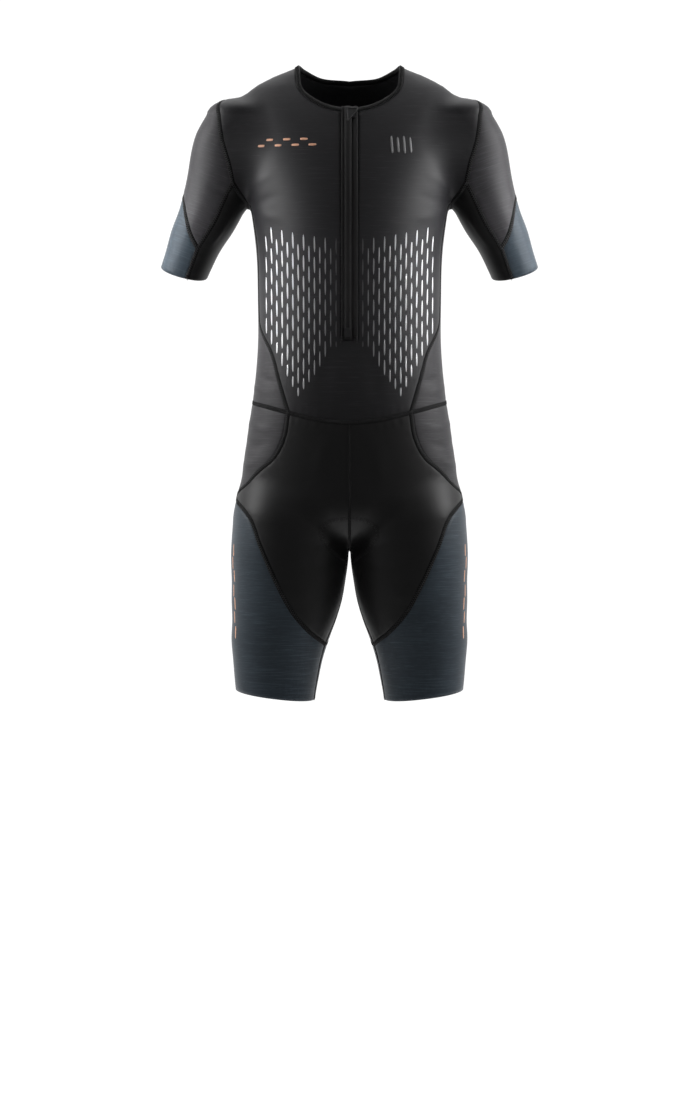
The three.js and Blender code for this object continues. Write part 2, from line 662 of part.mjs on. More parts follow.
function roundedPlate(width, length, radius, thickness) {
  const [w, l] = [width / 2, length / 2];
  const shape = new THREE.Shape();
  shape.moveTo(-w + radius, -l);
  shape.lineTo(w - radius, -l);
  shape.quadraticCurveTo(w, -l, w, -l + radius);
  shape.lineTo(w, l - radius);
  shape.quadraticCurveTo(w, l, w - radius, l);
  shape.lineTo(-w + radius, l);
  shape.quadraticCurveTo(-w, l, -w, l - radius);
  shape.lineTo(-w, -l + radius);
  shape.quadraticCurveTo(-w, -l, -w + radius, -l);
  return new THREE.ExtrudeGeometry(shape, {
    depth: thickness, bevelEnabled: false, curveSegments: 3 });
}

function solid(geometry) {
  const bare = geometry.index ? geometry.toNonIndexed() : geometry;
  bare.deleteAttribute('normal');
  bare.deleteAttribute('uv');
  const merged = mergeVertices(bare, 1e-4);
  return new wasm.Manifold(new wasm.Mesh({
    numProp: 3,
    vertProperties: new Float32Array(merged.attributes.position.array),
    triVerts: new Uint32Array(merged.index.array),
  }));
}

function geometryOf(manifold) {
  const mesh = manifold.getMesh();
  const geometry = new THREE.BufferGeometry();
  geometry.setAttribute('position', new THREE.BufferAttribute(mesh.vertProperties, mesh.numProp));
  geometry.setIndex(new THREE.BufferAttribute(mesh.triVerts, 1));
  geometry.computeVertexNormals();
  return geometry;
}

// A round bar across the zip, at a place along it and a height
function crossBar(radius, width, along, height, sides = 14) {
  return new THREE.CylinderGeometry(radius, radius, width, sides)
    .rotateZ(Math.PI / 2).translate(0, along, height);
}

function zipSlider() {
  const { width, length, corner, low, high, armIn, armOut, barRadius } = SLIDER;
  let body = solid(roundedPlate(width, length, corner, high - low).translate(0, 0, low));
  const reach = -SLIDER.barAlong - length / 2 + SLIDER.armLap;
  for (const side of [-1, 1]) {
    const x = side * (armIn + armOut) / 2;
    const arm = new THREE.BoxGeometry(armOut - armIn, reach, high - low)
      .translate(x, SLIDER.barAlong + reach / 2, (high + low) / 2);
    body = body.add(solid(arm));
    const end = crossBar(barRadius, armOut - armIn, SLIDER.barAlong, SLIDER.barHeight);
    body = body.add(solid(end.translate(x, 0, 0)));
  }
  const bar = crossBar(barRadius, 2 * (armIn + SLIDER.barLap), SLIDER.barAlong, SLIDER.barHeight);
  return geometryOf(body.add(solid(bar)));
}

// The moulded pull: a three-cornered plate with an eye round the slider's bar
function pullTab() {
  const shape = new THREE.Shape(TAB.outline.map(({ x, along }) => new THREE.Vector2(x, along)));
  const plate = new THREE.ExtrudeGeometry(shape, {
    depth: TAB.thick, bevelEnabled: false }).translate(0, SLIDER.barAlong, TAB.low);
  const eye = crossBar(TAB.eyeRadius, TAB.eyeWidth, SLIDER.barAlong, SLIDER.barHeight, 20);
  const bore = crossBar(TAB.boreRadius, TAB.eyeWidth + 1, SLIDER.barAlong, SLIDER.barHeight, 20);
  return geometryOf(solid(plate).add(solid(eye)).subtract(solid(bore)));
}

function material(color, roughness, metalness = 0) {
  return new THREE.MeshStandardMaterial({ color, roughness, metalness });
}

const finish = {
  satin: () => material(0x1b1b1d, 0.45),
  heather: () => material(0x3f3d42, 0.7),
  slate: () => material(0x46525c, 0.65),
  tape: () => material(0x151517, 0.8),
  hard: () => material(0x202124, 0.35),
};

const suit = new THREE.Group();

function addPiece(name, geometry, look) {
  const mesh = new THREE.Mesh(geometry, look);
  mesh.name = name;
  suit.add(mesh);
  return mesh;
}

// The grid is the wearer's left piece; its mirror image is the right one
function addPair(name, grid, look) {
  addPiece(`${name}_left`, cloth([grid]), look());
  addPiece(`${name}_right`, cloth([acrossMiddle(grid)]), look());
}

function addHard(name, geometry, x, z) {
  addPiece(name, geometry, finish.hard()).applyMatrix4(zipFrame(x, z));
}

addPiece('front', cloth(frontGrids()), finish.satin());
addPiece('back', cloth(backGrids()), finish.satin());
addPiece('neck_binding', neckBinding(), finish.tape());
addPair('side', sidePatch(), finish.heather);

const sleeve = sleevePatches();
addPair('sleeve_cap', sleeve.sleeve_cap, finish.heather);
addPair('sleeve_inner', sleeve.sleeve_inner, finish.satin);
addPair('sleeve_cuff', sleeve.sleeve_cuff, finish.slate);

const shorts = shortsPatches();
addPair('shorts_front', shorts.shorts_front, finish.satin);
addPair('shorts_back', shorts.shorts_back, finish.satin);
addPair('hip', shorts.hip, finish.heather);
addPair('thigh', shorts.thigh, finish.slate);

addPiece('zip_tape_right', zipTape(COIL_TAPE), finish.tape());
addPiece('zip_tape_left', zipTape(PLAIN_TAPE), finish.tape());
addHard('zip_slider', zipSlider(), ZIP_MEET, SLIDER.z);
addHard('pull_tab', pullTab(), ZIP_MEET, SLIDER.z);
const stop = roundedPlate(STOP.width, STOP.length, STOP.corner, STOP.high - STOP.low);
addHard('zip_stop', stop.translate(0, 0, STOP.low), STOP.x, STOP.z);

export default suit;
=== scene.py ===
"""Dresses a short-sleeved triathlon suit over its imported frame.

The suit keeps the form it has when it is worn: a torso, two arms and two legs that run into
each other. Every cut panel is a thin closed shell on that form, and the seams, the zip, the
neck binding and the printed places lie on the panels. Lengths are millimetres until a mesh is
made, and metres from there on. +Z is up and the front faces -Y.
"""
from __future__ import annotations

import logging
import math
from dataclasses import dataclass, field
from enum import Enum
from typing import NamedTuple, Sequence

import bmesh
import bpy
import numpy as np
from mathutils.kdtree import KDTree
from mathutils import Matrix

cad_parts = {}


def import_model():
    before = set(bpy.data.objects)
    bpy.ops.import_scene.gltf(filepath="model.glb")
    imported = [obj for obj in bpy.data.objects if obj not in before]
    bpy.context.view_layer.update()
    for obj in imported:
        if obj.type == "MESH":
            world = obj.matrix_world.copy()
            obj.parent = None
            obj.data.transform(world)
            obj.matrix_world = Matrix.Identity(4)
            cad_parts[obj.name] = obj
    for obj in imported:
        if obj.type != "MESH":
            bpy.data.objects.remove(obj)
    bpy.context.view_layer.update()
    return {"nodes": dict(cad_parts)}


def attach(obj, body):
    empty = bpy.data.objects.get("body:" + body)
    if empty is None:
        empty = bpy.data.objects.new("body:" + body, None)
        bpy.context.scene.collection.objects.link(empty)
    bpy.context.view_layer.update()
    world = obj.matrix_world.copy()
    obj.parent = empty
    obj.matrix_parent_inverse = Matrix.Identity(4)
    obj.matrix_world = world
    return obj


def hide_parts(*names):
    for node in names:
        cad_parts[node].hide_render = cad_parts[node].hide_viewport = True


LOG = logging.getLogger("suit")
MM = 0.001
Points = np.ndarray
norm = np.linalg.norm
Triple = tuple[float, float, float]
Colour = Triple
Socket = bpy.types.NodeSocket
Material = bpy.types.Material
Object = bpy.types.Object
Inputs = dict[str | int, object]


class Side(Enum):
    """Which side of the suit a line along Y comes from."""

    FRONT = 1.0
    BACK = -1.0


FRONT = Side.FRONT
BACK = Side.BACK


class Level(NamedTuple):
    """One level of a column: its height, centre, half width and depths."""

    z: float
    x: float
    y: float
    half: float
    front: float
    back: float


class Spot(NamedTuple):
    """A place that a seam runs through. A side in y means where the form is met from there."""

    x: float
    y: float | Side
    z: float


def front(*places: tuple[float, float]) -> tuple[Spot, ...]:
    """Spots met from the front, from their places across and their heights."""
    return tuple(Spot(x, FRONT, z) for x, z in places)


def back(*places: tuple[float, float]) -> tuple[Spot, ...]:
    """Spots met from the back, likewise."""
    return tuple(Spot(x, BACK, z) for x, z in places)


@dataclass
class Column:
    """A rounded column through its levels, closed by a cap above and below.

    Attributes:
        top: Height of the highest level used.
        top_cap: Height of the cap over it.
        bottom: Height of the lowest level used.
        bottom_cap: Depth of the cap under it.
        levels: The levels, from the highest to the lowest.
        roundness: Exponent of the outline: 2 is an ellipse.
    """

    top: float
    top_cap: float
    bottom: float
    bottom_cap: float
    levels: tuple[Level, ...]
    roundness: float = 2.25
    table: Points = field(init=False)

    def __post_init__(self) -> None:
        """Samples the levels once for every millimetre of height."""
        rows = np.array(self.levels)
        heights = np.arange(self.bottom, self.top + 1.0)
        self.table = np.array([self._section(rows, z) for z in heights])

    @staticmethod
    def _section(rows: Points, z: float) -> Points:
        """Smooth section at a height.

        Args:
            rows: Levels from the highest to the lowest.
            z: The height.

        Returns:
            Centre x, centre y, half width, depth to the front and to the back.
        """
        last = len(rows) - 1
        i = 0
        while i < last - 1 and z < rows[i + 1, 0]:
            i += 1
        a, b = rows[i], rows[i + 1]
        before, after = rows[max(i - 1, 0)], rows[min(i + 2, last)]
        span = b[0] - a[0]
        t = (z - a[0]) / span
        slope_a = (b - before)[1:] / (b[0] - before[0]) * span
        slope_b = (after - a)[1:] / (after[0] - a[0]) * span
        rise = (b - a)[1:]
        square = 3 * rise - 2 * slope_a - slope_b
        cube = slope_a + slope_b - 2 * rise
        return a[1:] + t * (slope_a + t * (square + t * cube))

    def section(self, heights: Points) -> Points:
        """Sections at many heights, held between top and bottom."""
        place = np.clip(heights - self.bottom, 0, len(self.table) - 1.001)
        low = place.astype(int)
        share = (place - low)[:, None]
        return self.table[low] * (1 - share) + self.table[low + 1] * share

    def distance(self, points: Points, side: float = 1.0) -> Points:
        """Distance to the column's skin along the ray from its middle.

        Args:
            points: Places, one a row.
            side: -1 takes the column's mirror image.

        Returns:
            One distance a place, negative inside.
        """
        held = np.clip(points[:, 2], self.bottom, self.top)
        row = self.section(held)
        over = points[:, 2] - held
        cap = np.where(over > 0, self.top_cap, self.bottom_cap)
        dx = points[:, 0] * side - row[:, 0]
        dy = points[:, 1] - row[:, 1]
        depth = np.where(dy < 0, row[:, 3], row[:, 4])
        power = self.roundness
        flat = (np.abs(dx / row[:, 2]) ** power + np.abs(dy / depth) ** power) ** (1 / power)
        scale = np.maximum(np.hypot(flat, over / cap), 1e-6)
        return np.sqrt(dx * dx + dy * dy + over * over) * (1 - 1 / scale)


def torso_column() -> Column:
    """The torso's sections."""
    return Column(60, 60, -655, 79, (
        Level(60, 0, 0, 60, 34, 62), Level(18, 0, 0, 67, 34, 62), Level(0, 0, 0, 80, 36, 66),
        Level(-17, 0, 0, 119, 42, 75), Level(-35, 0, 0, 150, 53, 85),
        Level(-60, 0, 0, 166, 69, 96), Level(-90, 0, 0, 170, 85, 105),
        Level(-130, 0, 0, 167, 101, 112), Level(-175, 0, 0, 160, 112, 115),
        Level(-225, 0, 0, 151, 116, 112), Level(-290, 0, 0, 143, 112, 105),
        Level(-360, 0, 0, 141, 107, 99), Level(-430, 0, 0, 141, 104, 97),
        Level(-500, 0, 0, 147, 104, 101), Level(-560, 0, 0, 156, 105, 110),
        Level(-610, 0, 0, 163, 104, 117), Level(-655, 0, 0, 168, 101, 119)))


def arm_column() -> Column:
    """The left arm's sections."""
    return Column(-75, 27, -400, 60, (
        Level(-75, 167, 0, 53, 50, 52), Level(-88, 171, 0, 57, 54, 56),
        Level(-105, 176, 0, 60.5, 57, 60), Level(-128, 181, 2, 62, 59, 60),
        Level(-174, 193, 7, 58, 58, 58), Level(-217, 211, 14, 51, 55, 55),
        Level(-251, 227, 20, 48, 52, 52), Level(-282, 242, 27, 42, 49, 49),
        Level(-308, 253, 34, 39.5, 47, 47), Level(-340, 265, 42, 37, 45, 45),
        Level(-400, 286, 56, 34, 43, 43)))


def leg_column() -> Column:
    """The left leg's sections."""
    return Column(-700, 90, -1040, 60, (
        Level(-700, 91, 6, 88.5, 104, 106), Level(-736, 92, 6, 90, 103, 104),
        Level(-760, 92.5, 6, 90, 100, 100), Level(-790, 94, 7, 87.5, 96, 95),
        Level(-821, 96.7, 8, 85, 91, 89), Level(-852, 100.8, 9, 80, 86, 83),
        Level(-882, 107, 10, 75, 81, 77), Level(-913, 110.5, 11, 69, 76, 71),
        Level(-944, 112.5, 12, 64.5, 72, 68), Level(-970, 113.5, 12, 61, 70, 66),
        Level(-1040, 115, 12, 56, 65, 62)))


@dataclass
class WornForm:
    """The outer form of the worn suit, as one smooth distance.

    Attributes:
        arm_blend: How softly an arm runs into the torso at the shoulder and the armpit.
        chest_blend: How much more softly it does at the chest's height.
        chest_level: That height.
        chest_reach: How far above and below it the softer run ends.
        leg_blend: How softly the legs run into the torso.
        crotch_blend: How softly the legs run into each other.
        slope_step: Step for the form's slope.
        start: Where a line along Y starts, from the suit's middle.
        stride: Share of the distance left that the line's next step takes.
        rounds: Most steps that it takes.
        close: Distance at which it has met the form.
    """

    arm_blend: float = 18
    chest_blend: float = 28
    chest_level: float = -130
    chest_reach: float = 75
    leg_blend: float = 16
    crotch_blend: float = 6
    slope_step: float = 0.2
    start: float = 220
    stride: float = 0.8
    rounds: int = 90
    close: float = 1e-3
    torso: Column = field(default_factory=torso_column)
    arm: Column = field(default_factory=arm_column)
    leg: Column = field(default_factory=leg_column)

    @staticmethod
    def _join(a: Points, b: Points, blend: float | Points) -> Points:
        """The nearer of two distances, rounded where they are alike."""
        near = np.maximum(blend - np.abs(a - b), 0) / blend
        return np.minimum(a, b) - near * near * blend / 4

    def distance(self, points: Points) -> Points:
        """Distance to the form's skin, negative inside."""
        legs = self._join(self.leg.distance(points), self.leg.distance(points, -1),
                          self.crotch_blend)
        lower = self._join(self.torso.distance(points), legs, self.leg_blend)
        away = np.minimum(np.abs(points[:, 2] - self.chest_level) / self.chest_reach, 1)
        blend = self.arm_blend + self.chest_blend * np.cos(away * math.pi / 2) ** 2
        return self._join(lower, self.arm.distance(left_half(points)), blend)

    def slope(self, points: Points) -> Points:
        """The distance's slope at each place."""
        step = self.slope_step
        parts = []
        for axis in np.eye(3) * step:
            parts.append(self.distance(points + axis) - self.distance(points - axis))
        return np.stack(parts, axis=1) / (2 * step)

    def normal(self, points: Points) -> Points:
        """Unit directions away from the form."""
        return unit(self.slope(points))

    def settle(self, points: Points, steps: int = 4) -> Points:
        """Moves places onto the form.

        Args:
            points: Places near the form, in any array whose last side is x, y, z.
            steps: Number of corrections.

        Returns:
            The same places on the form.
        """
        shape = np.shape(points)
        spots = np.array(points, float).reshape(-1, 3)
        for _ in range(steps):
            slope = self.slope(spots)
            size = np.maximum((slope * slope).sum(axis=1), 0.05)
            spots = spots - slope * (self.distance(spots) / size)[:, None]
        return spots.reshape(shape)

    def met(self, x: Points, z: Points, side: Side) -> Points:
        """Where straight lines along Y meet the form from one side.

        Args:
            x: Places across.
            z: Heights.
            side: The side that the lines come from.

        Returns:
            One place a line.
        """
        x, z = np.broadcast_arrays(np.atleast_1d(np.asarray(x, float)), z)
        spots = np.stack([x, np.full(x.shape, -self.start * side.value), z], axis=1)
        for _ in range(self.rounds):
            gap = self.distance(spots)
            spots[:, 1] += self.stride * gap * side.value
            if np.abs(gap).max() < self.close:
                break
        return spots

    def places(self, spots: Sequence[Spot]) -> Points:
        """The spots of a seam, on the form."""
        found = []
        for spot in spots:
            if isinstance(spot.y, Side):
                found.append(self.met(spot.x, np.array([spot.z]), spot.y)[0])
            else:
                found.append(self.settle(np.array([[spot.x, spot.y, spot.z]], float), 6)[0])
        return np.array(found)


def smooth_line(knots: Points, count: int, samples: int = 60) -> Points:
    """A smooth line through knots, cut into even lengths.

    Args:
        knots: Places that the line runs through.
        count: Number of lengths.
        samples: Places worked out between two knots.

    Returns:
        count + 1 places, ends included.
    """
    ends = np.vstack([2 * knots[0] - knots[1], knots, 2 * knots[-1] - knots[-2]])
    dense = []
    for i in range(len(knots) - 1):
        p0, p1, p2, p3 = ends[i:i + 4]
        d0, d1, d2 = (max(norm(b - a), 1e-4) ** 0.5
                      for a, b in ((p0, p1), (p1, p2), (p2, p3)))
        t1 = ((p1 - p0) / d0 - (p2 - p0) / (d0 + d1) + (p2 - p1) / d1) * d1
        t2 = ((p2 - p1) / d1 - (p3 - p1) / (d1 + d2) + (p3 - p2) / d2) * d1
        t = np.linspace(0, 1, samples, endpoint=False)[:, None]
        dense.append(p1 + t * (t1 + t * ((3 * (p2 - p1) - 2 * t1 - t2)
                                         + t * (t1 + t2 - 2 * (p2 - p1)))))
    dense = np.vstack([*dense, knots[-1:]])
    return even_line(dense, count)


def even_line(dense: Points, count: int) -> Points:
    """The same line with count even lengths."""
    run = np.concatenate([[0], np.cumsum(norm(np.diff(dense, axis=0), axis=1))])
    wanted = np.linspace(0, run[-1], count + 1)
    return np.stack([np.interp(wanted, run, dense[:, k]) for k in range(3)], axis=1)


def chain(*parts: Points) -> Points:
    """Lines joined end to end, without their doubled places."""
    return np.vstack([parts[0], *[part[1:] for part in parts[1:]]])


def unit(vectors: Points) -> Points:
    """The vectors at a length of one."""
    return vectors / norm(vectors, axis=-1, keepdims=True)


def mirrored(points: Points) -> Points:
    """The mirror image on the other side of the suit."""
    return points * [-1, 1, 1]


def left_half(points: Points) -> Points:
    """The places, each on the left half or mirrored to it."""
    return np.hstack([np.abs(points[:, :1]), points[:, 1:]])


@dataclass(frozen=True)
class Seam:
    """A seam of the left half: the spots it runs through and its number of panel facets."""

    spots: tuple[Spot, ...]
    facets: int


@dataclass(frozen=True)
class Hem:
    """The plane that ends a limb: height at its middle, and its rise outward and backward."""

    x: float
    y: float
    z: float
    outward: float
    backward: float


@dataclass
class Pattern:
    """All seams of the suit's left half, on the worn form.

    Attributes:
        form: The worn form.
        fine: How many small lengths each panel facet is divided into.
        zip_half: Half the width of the zip's slot in the front.
        zip_top: Height of the zip's upper end.
        zip_bottom: Height of its lower end.
        slot_facets: Panel facets along the zip's slot; the next ones likewise along theirs.
        cuff_hem: The sleeve's end.
        leg_hem: The leg's end.
        cuff_split: Angles round the arm at which the cuff's panel starts and ends.
        hem_start: Angle round the leg at which the inseam meets its hem.
        lines: The seams as drawn.
    """

    form: WornForm
    fine: int
    zip_half: float = 12.5
    zip_top: float = -68.5
    zip_bottom: float = -423
    slot_facets: int = 12
    below_facets: int = 4
    underarm_facets: int = 3
    armpit_facets: int = 6
    cuff_facets: int = 8
    cuff_side_facets: int = 3
    thigh_facets: int = 12
    inseam_low_facets: int = 6
    waist_facets: int = 7
    waist_side_facets: int = 6
    cuff_hem: Hem = Hem(256, 36, -314, 0.3, 0.27)
    leg_hem: Hem = Hem(114, 12, -965.5, 0.122, 0.053)
    cuff_split: tuple[float, float] = (-10, 190)
    hem_start: float = -76
    lines: dict[str, Points] = field(default_factory=dict)

    def plans(self) -> dict[str, Seam]:
        """The seams by name."""
        half = self.zip_half
        neck = Spot(81, 8, -4)
        rim = Spot(75, 8, 1)
        tip = Spot(191, 3, -49)
        fold = Spot(157, -17, -210)
        fold_back = Spot(154.5, 26, -214)
        under = Spot(178, FRONT, -182)
        under_back = Spot(178, BACK, -182)
        waist = Spot(93, FRONT, -533)
        waist_back = Spot(101, BACK, -512)
        side = Spot(175, 4, -661)
        crotch = Spot(0, 6, -738)
        inner = Spot(36, -18, -889)
        cuff = Spot(233, FRONT, -281)
        cuff_back = Spot(235, BACK, -270)
        cuff_top = Spot(256, 14, -197)
        return {
            "neck_front": Seam((neck, *front((83, -15), (81, -31), (74, -45), (54, -61),
                (32, -71.5), (half, -77))), 6),
            "neck_back": Seam((neck, Spot(73, 42, -9), *back((46, -17), (0, -21))), 6),
            "rim_front": Seam((rim, *front((76, -9), (75, -24), (70, -41), (49, -58),
                (32, -65.5), (half, -69.5))), 6),
            "rim_back": Seam((rim, Spot(67, 38, -3), *back((44, -10), (0, -14))), 6),
            "shoulder": Seam((neck, Spot(118, 6, -16), Spot(152, 4, -34), tip), 7),
            "armhole_front": Seam((tip, Spot(198, -24, -62), *front((199, -86), (194, -119),
                (184, -154)), under), 8),
            "armhole_back": Seam((tip, Spot(198, 28, -62), *back((198, -86), (193, -119),
                (184, -154)), under_back), 8),
            "underarm_front": Seam((under, Spot(168, -34, -198), fold),
                self.underarm_facets),
            "underarm_back": Seam((under_back, Spot(166, 42, -201), fold_back),
                self.underarm_facets),
            "armpit": Seam((fold, Spot(156, 3, -219), fold_back), self.armpit_facets),
            "side_front": Seam((fold, Spot(149, -22, -238), Spot(143, -26, -268),
                Spot(141, -24, -304), Spot(140, -22, -372), Spot(138, -24, -393),
                *front((119.5, -441), (107, -486)), waist), 11),
            "side_back": Seam((fold_back, Spot(149, 27, -238), Spot(143, 30, -268),
                Spot(141, 30, -304), Spot(140, 32, -365), Spot(138, 34, -385), *back((124, -430),
                (112, -472)), waist_back), 11),
            "waist_front": Seam((*front((half, -548), (47, -544)), waist),
                self.waist_facets),
            "waist_side": Seam((waist, Spot(130, FRONT, -523), Spot(149, 0, -516),
                Spot(132, BACK, -513), waist_back), self.waist_side_facets),
            "waist_back": Seam((waist_back, *back((50, -510), (0, -510))),
                self.waist_facets),
            "centre_back": Seam(tuple(Spot(0, BACK, z) for z in
                (-21, -120, -250, -380, -510)), 16),
            "hip_front": Seam((waist, *front((99, -570), (114, -600), (140, -623),
                (160, -644)), side), 8),
            "hip_back": Seam((waist_back, *back((106, -556), (119, -594), (142, -622),
                (161, -644)), side), 8),
            "thigh_front": Seam((side, *front((152, -692), (136, -733), (113, -786),
                (87, -835), (64, -863)), inner), self.thigh_facets),
            "thigh_back": Seam((side, *back((155, -692), (139, -733), (116, -786),
                (89, -835), (62, -866)), inner), self.thigh_facets),
            "seat_front": Seam((*front((0, -548), (0, -600), (0, -655), (0, -700)),
                Spot(0, -45, -727), crotch), 9),
            "seat_back": Seam((*back((0, -510), (0, -585), (0, -650), (0, -700)),
                Spot(0, 60, -727), crotch), 9),
            "inseam": Seam((crotch, Spot(3, 3, -752), Spot(6, -2, -790), Spot(13, -7, -824),
                Spot(22, -12, -856), inner), 11),
            "cap_front": Seam((under, *front((193, -211), (205.5, -238), (219, -260)),
                cuff), 6),
            "cap_back": Seam((under_back, *back((193, -207), (206, -232), (220, -252)),
                cuff_back), 6),
            "cuff_top_front": Seam((cuff, *front((244.5, -258), (251, -232)),
                Spot(254, -12, -208), cuff_top), self.cuff_facets),
            "cuff_top_back": Seam((cuff_back, *back((246, -250), (252, -226)),
                Spot(255, 38, -205), cuff_top), self.cuff_facets),
        }

    def draw(self) -> None:
        """Lays every seam on the form."""
        for name, plan in self.plans().items():
            line = smooth_line(self.form.places(plan.spots), plan.facets * self.fine)
            line[1:-1] = self.form.settle(line[1:-1], 4)
            self.lines[name] = line
        for name, at in (("cuff_side_front", 0), ("cuff_side_back", -1)):
            start = self.lines["cap_" + name.rsplit("_", 1)[1]][-1]
            self.lines[name] = self.between(start, self.cuff_outer()[at], self.cuff_side_facets)
        self.lines["inseam_low"] = self.between(
            self.lines["inseam"][-1], self.leg_round()[0], self.inseam_low_facets)

    def between(self, start: Points, end: Points, facets: int) -> Points:
        """A line on the form from one place to another."""
        share = np.linspace(0, 1, facets * self.fine + 1)[:, None]
        line = start * (1 - share) + end * share
        line[1:-1] = self.form.settle(line[1:-1], 6)
        return line

    def hem_arc(self, column: Column, hem: Hem, turn: tuple[float, float],
                facets: int) -> Points:
        """Part of a hem: the form cut by the hem's plane.

        Args:
            column: The limb's column.
            hem: The plane.
            turn: First and last angle round the limb. 0 is the front and 90 outward.
            facets: Number of panel facets.

        Returns:
            The places along the hem.
        """
        angle = np.radians(np.linspace(turn[0], turn[1], facets * self.fine + 1))
        row = column.section(np.array([hem.z]))[0]
        spots = np.stack([hem.x + row[2] * np.sin(angle), hem.y - row[3] * np.cos(angle),
                          np.full(angle.shape, hem.z)], axis=1)
        for _ in range(6):
            spots[:, 2] = (hem.z + (spots[:, 0] - hem.x) * hem.outward
                           + (spots[:, 1] - hem.y) * hem.backward)
            spots = self.form.settle(spots, 2)
        return spots

    def cuff_outer(self) -> Points:
        """The cuff's hem round its outer side."""
        return self.hem_arc(self.form.arm, self.cuff_hem, self.cuff_split,
                            2 * self.cuff_facets)

    def cuff_inner(self) -> Points:
        """The cuff's hem round its inner side."""
        start, end = self.cuff_split
        return self.hem_arc(self.form.arm, self.cuff_hem, (start, end - 360),
                            2 * self.underarm_facets + self.armpit_facets)

    def leg_round(self) -> Points:
        """The leg's hem, all round from the inseam."""
        line = self.hem_arc(self.form.leg, self.leg_hem, (self.hem_start, self.hem_start + 360),
                            2 * self.thigh_facets)
        line[-1] = line[0]
        return line


@dataclass
class Fold:
    """A soft crease on both sides of the suit.

    Attributes:
        spots: Where it runs, on the left half.
        width: Half its width.
        depth: Height over the form; negative for a trough.
        wander: Share by which its depth comes and goes along it.
    """

    spots: tuple[Spot, ...]
    width: float
    depth: float
    wander: float = 0.35


def worn_folds() -> tuple[Fold, ...]:
    """The creases that the worn cloth shows, and like ones on its hidden sides."""
    return (
        Fold(front((171, -196), (150, -190), (118, -172)), 6, 0.7),
        Fold(front((166, -208), (140, -212), (104, -204)), 7, -0.8),
        Fold((Spot(154, -40, -222), *front((132, -232), (96, -240))), 8, 0.8),
        Fold(back((176, -190), (150, -184), (112, -160)), 7, 1.6),
        Fold(back((168, -206), (140, -206), (100, -192)), 8, -1.5),
        Fold(front((182, -196), (196, -196), (216, -186)), 6, -1.2),
        Fold(back((186, -196), (200, -194), (220, -184)), 6, -1.2),
        Fold((Spot(184, -22, -232), Spot(196, -20, -252), Spot(212, -16, -276)), 5, 1.1),
        Fold((Spot(182, 34, -232), Spot(194, 42, -252), Spot(212, 52, -274)), 5, 1.1),
        Fold((Spot(146, -10, -470), *front((128, -482), (104, -489))), 5, -1.1),
        Fold((Spot(147, 0, -492), *front((132, -500), (112, -503))), 4.5, 1.1),
        Fold((Spot(146, 12, -468), *back((130, -476), (100, -478))), 5, -1.2),
        Fold((Spot(148, 10, -490), *back((128, -494), (92, -488))), 5, 1.2),
        Fold((Spot(152, 0, -548), *front((136, -556), (116, -556))), 5, 1.0),
        Fold((Spot(156, 0, -580), *front((142, -584), (124, -578))), 6, -1.1),
        Fold((Spot(164, 0, -614), *front((152, -612), (134, -600))), 6, 1.0),
        Fold(front((16, -716), (40, -704), (78, -676)), 9, -0.7),
        Fold(front((18, -738), (48, -734), (88, -722)), 9, 0.9),
        Fold((Spot(10, -70, -752), *front((34, -764), (70, -762))), 8, -1.0),
        Fold(back((8, -704), (40, -716), (90, -708)), 9, -1.6),
        Fold(back((10, -724), (44, -742), (92, -738)), 9, 1.4),
        Fold(front((22, -560), (40, -590), (48, -640)), 12, 0.8),
        Fold(front((20, -440), (34, -470), (40, -520)), 12, -0.8),
        Fold(back((12, -300), (40, -318), (84, -310)), 12, 0.9),
        Fold(back((12, -400), (44, -422), (92, -420)), 11, -1.1),
        Fold(front((60, -800), (82, -812), (112, -806)), 10, 0.7),
    )


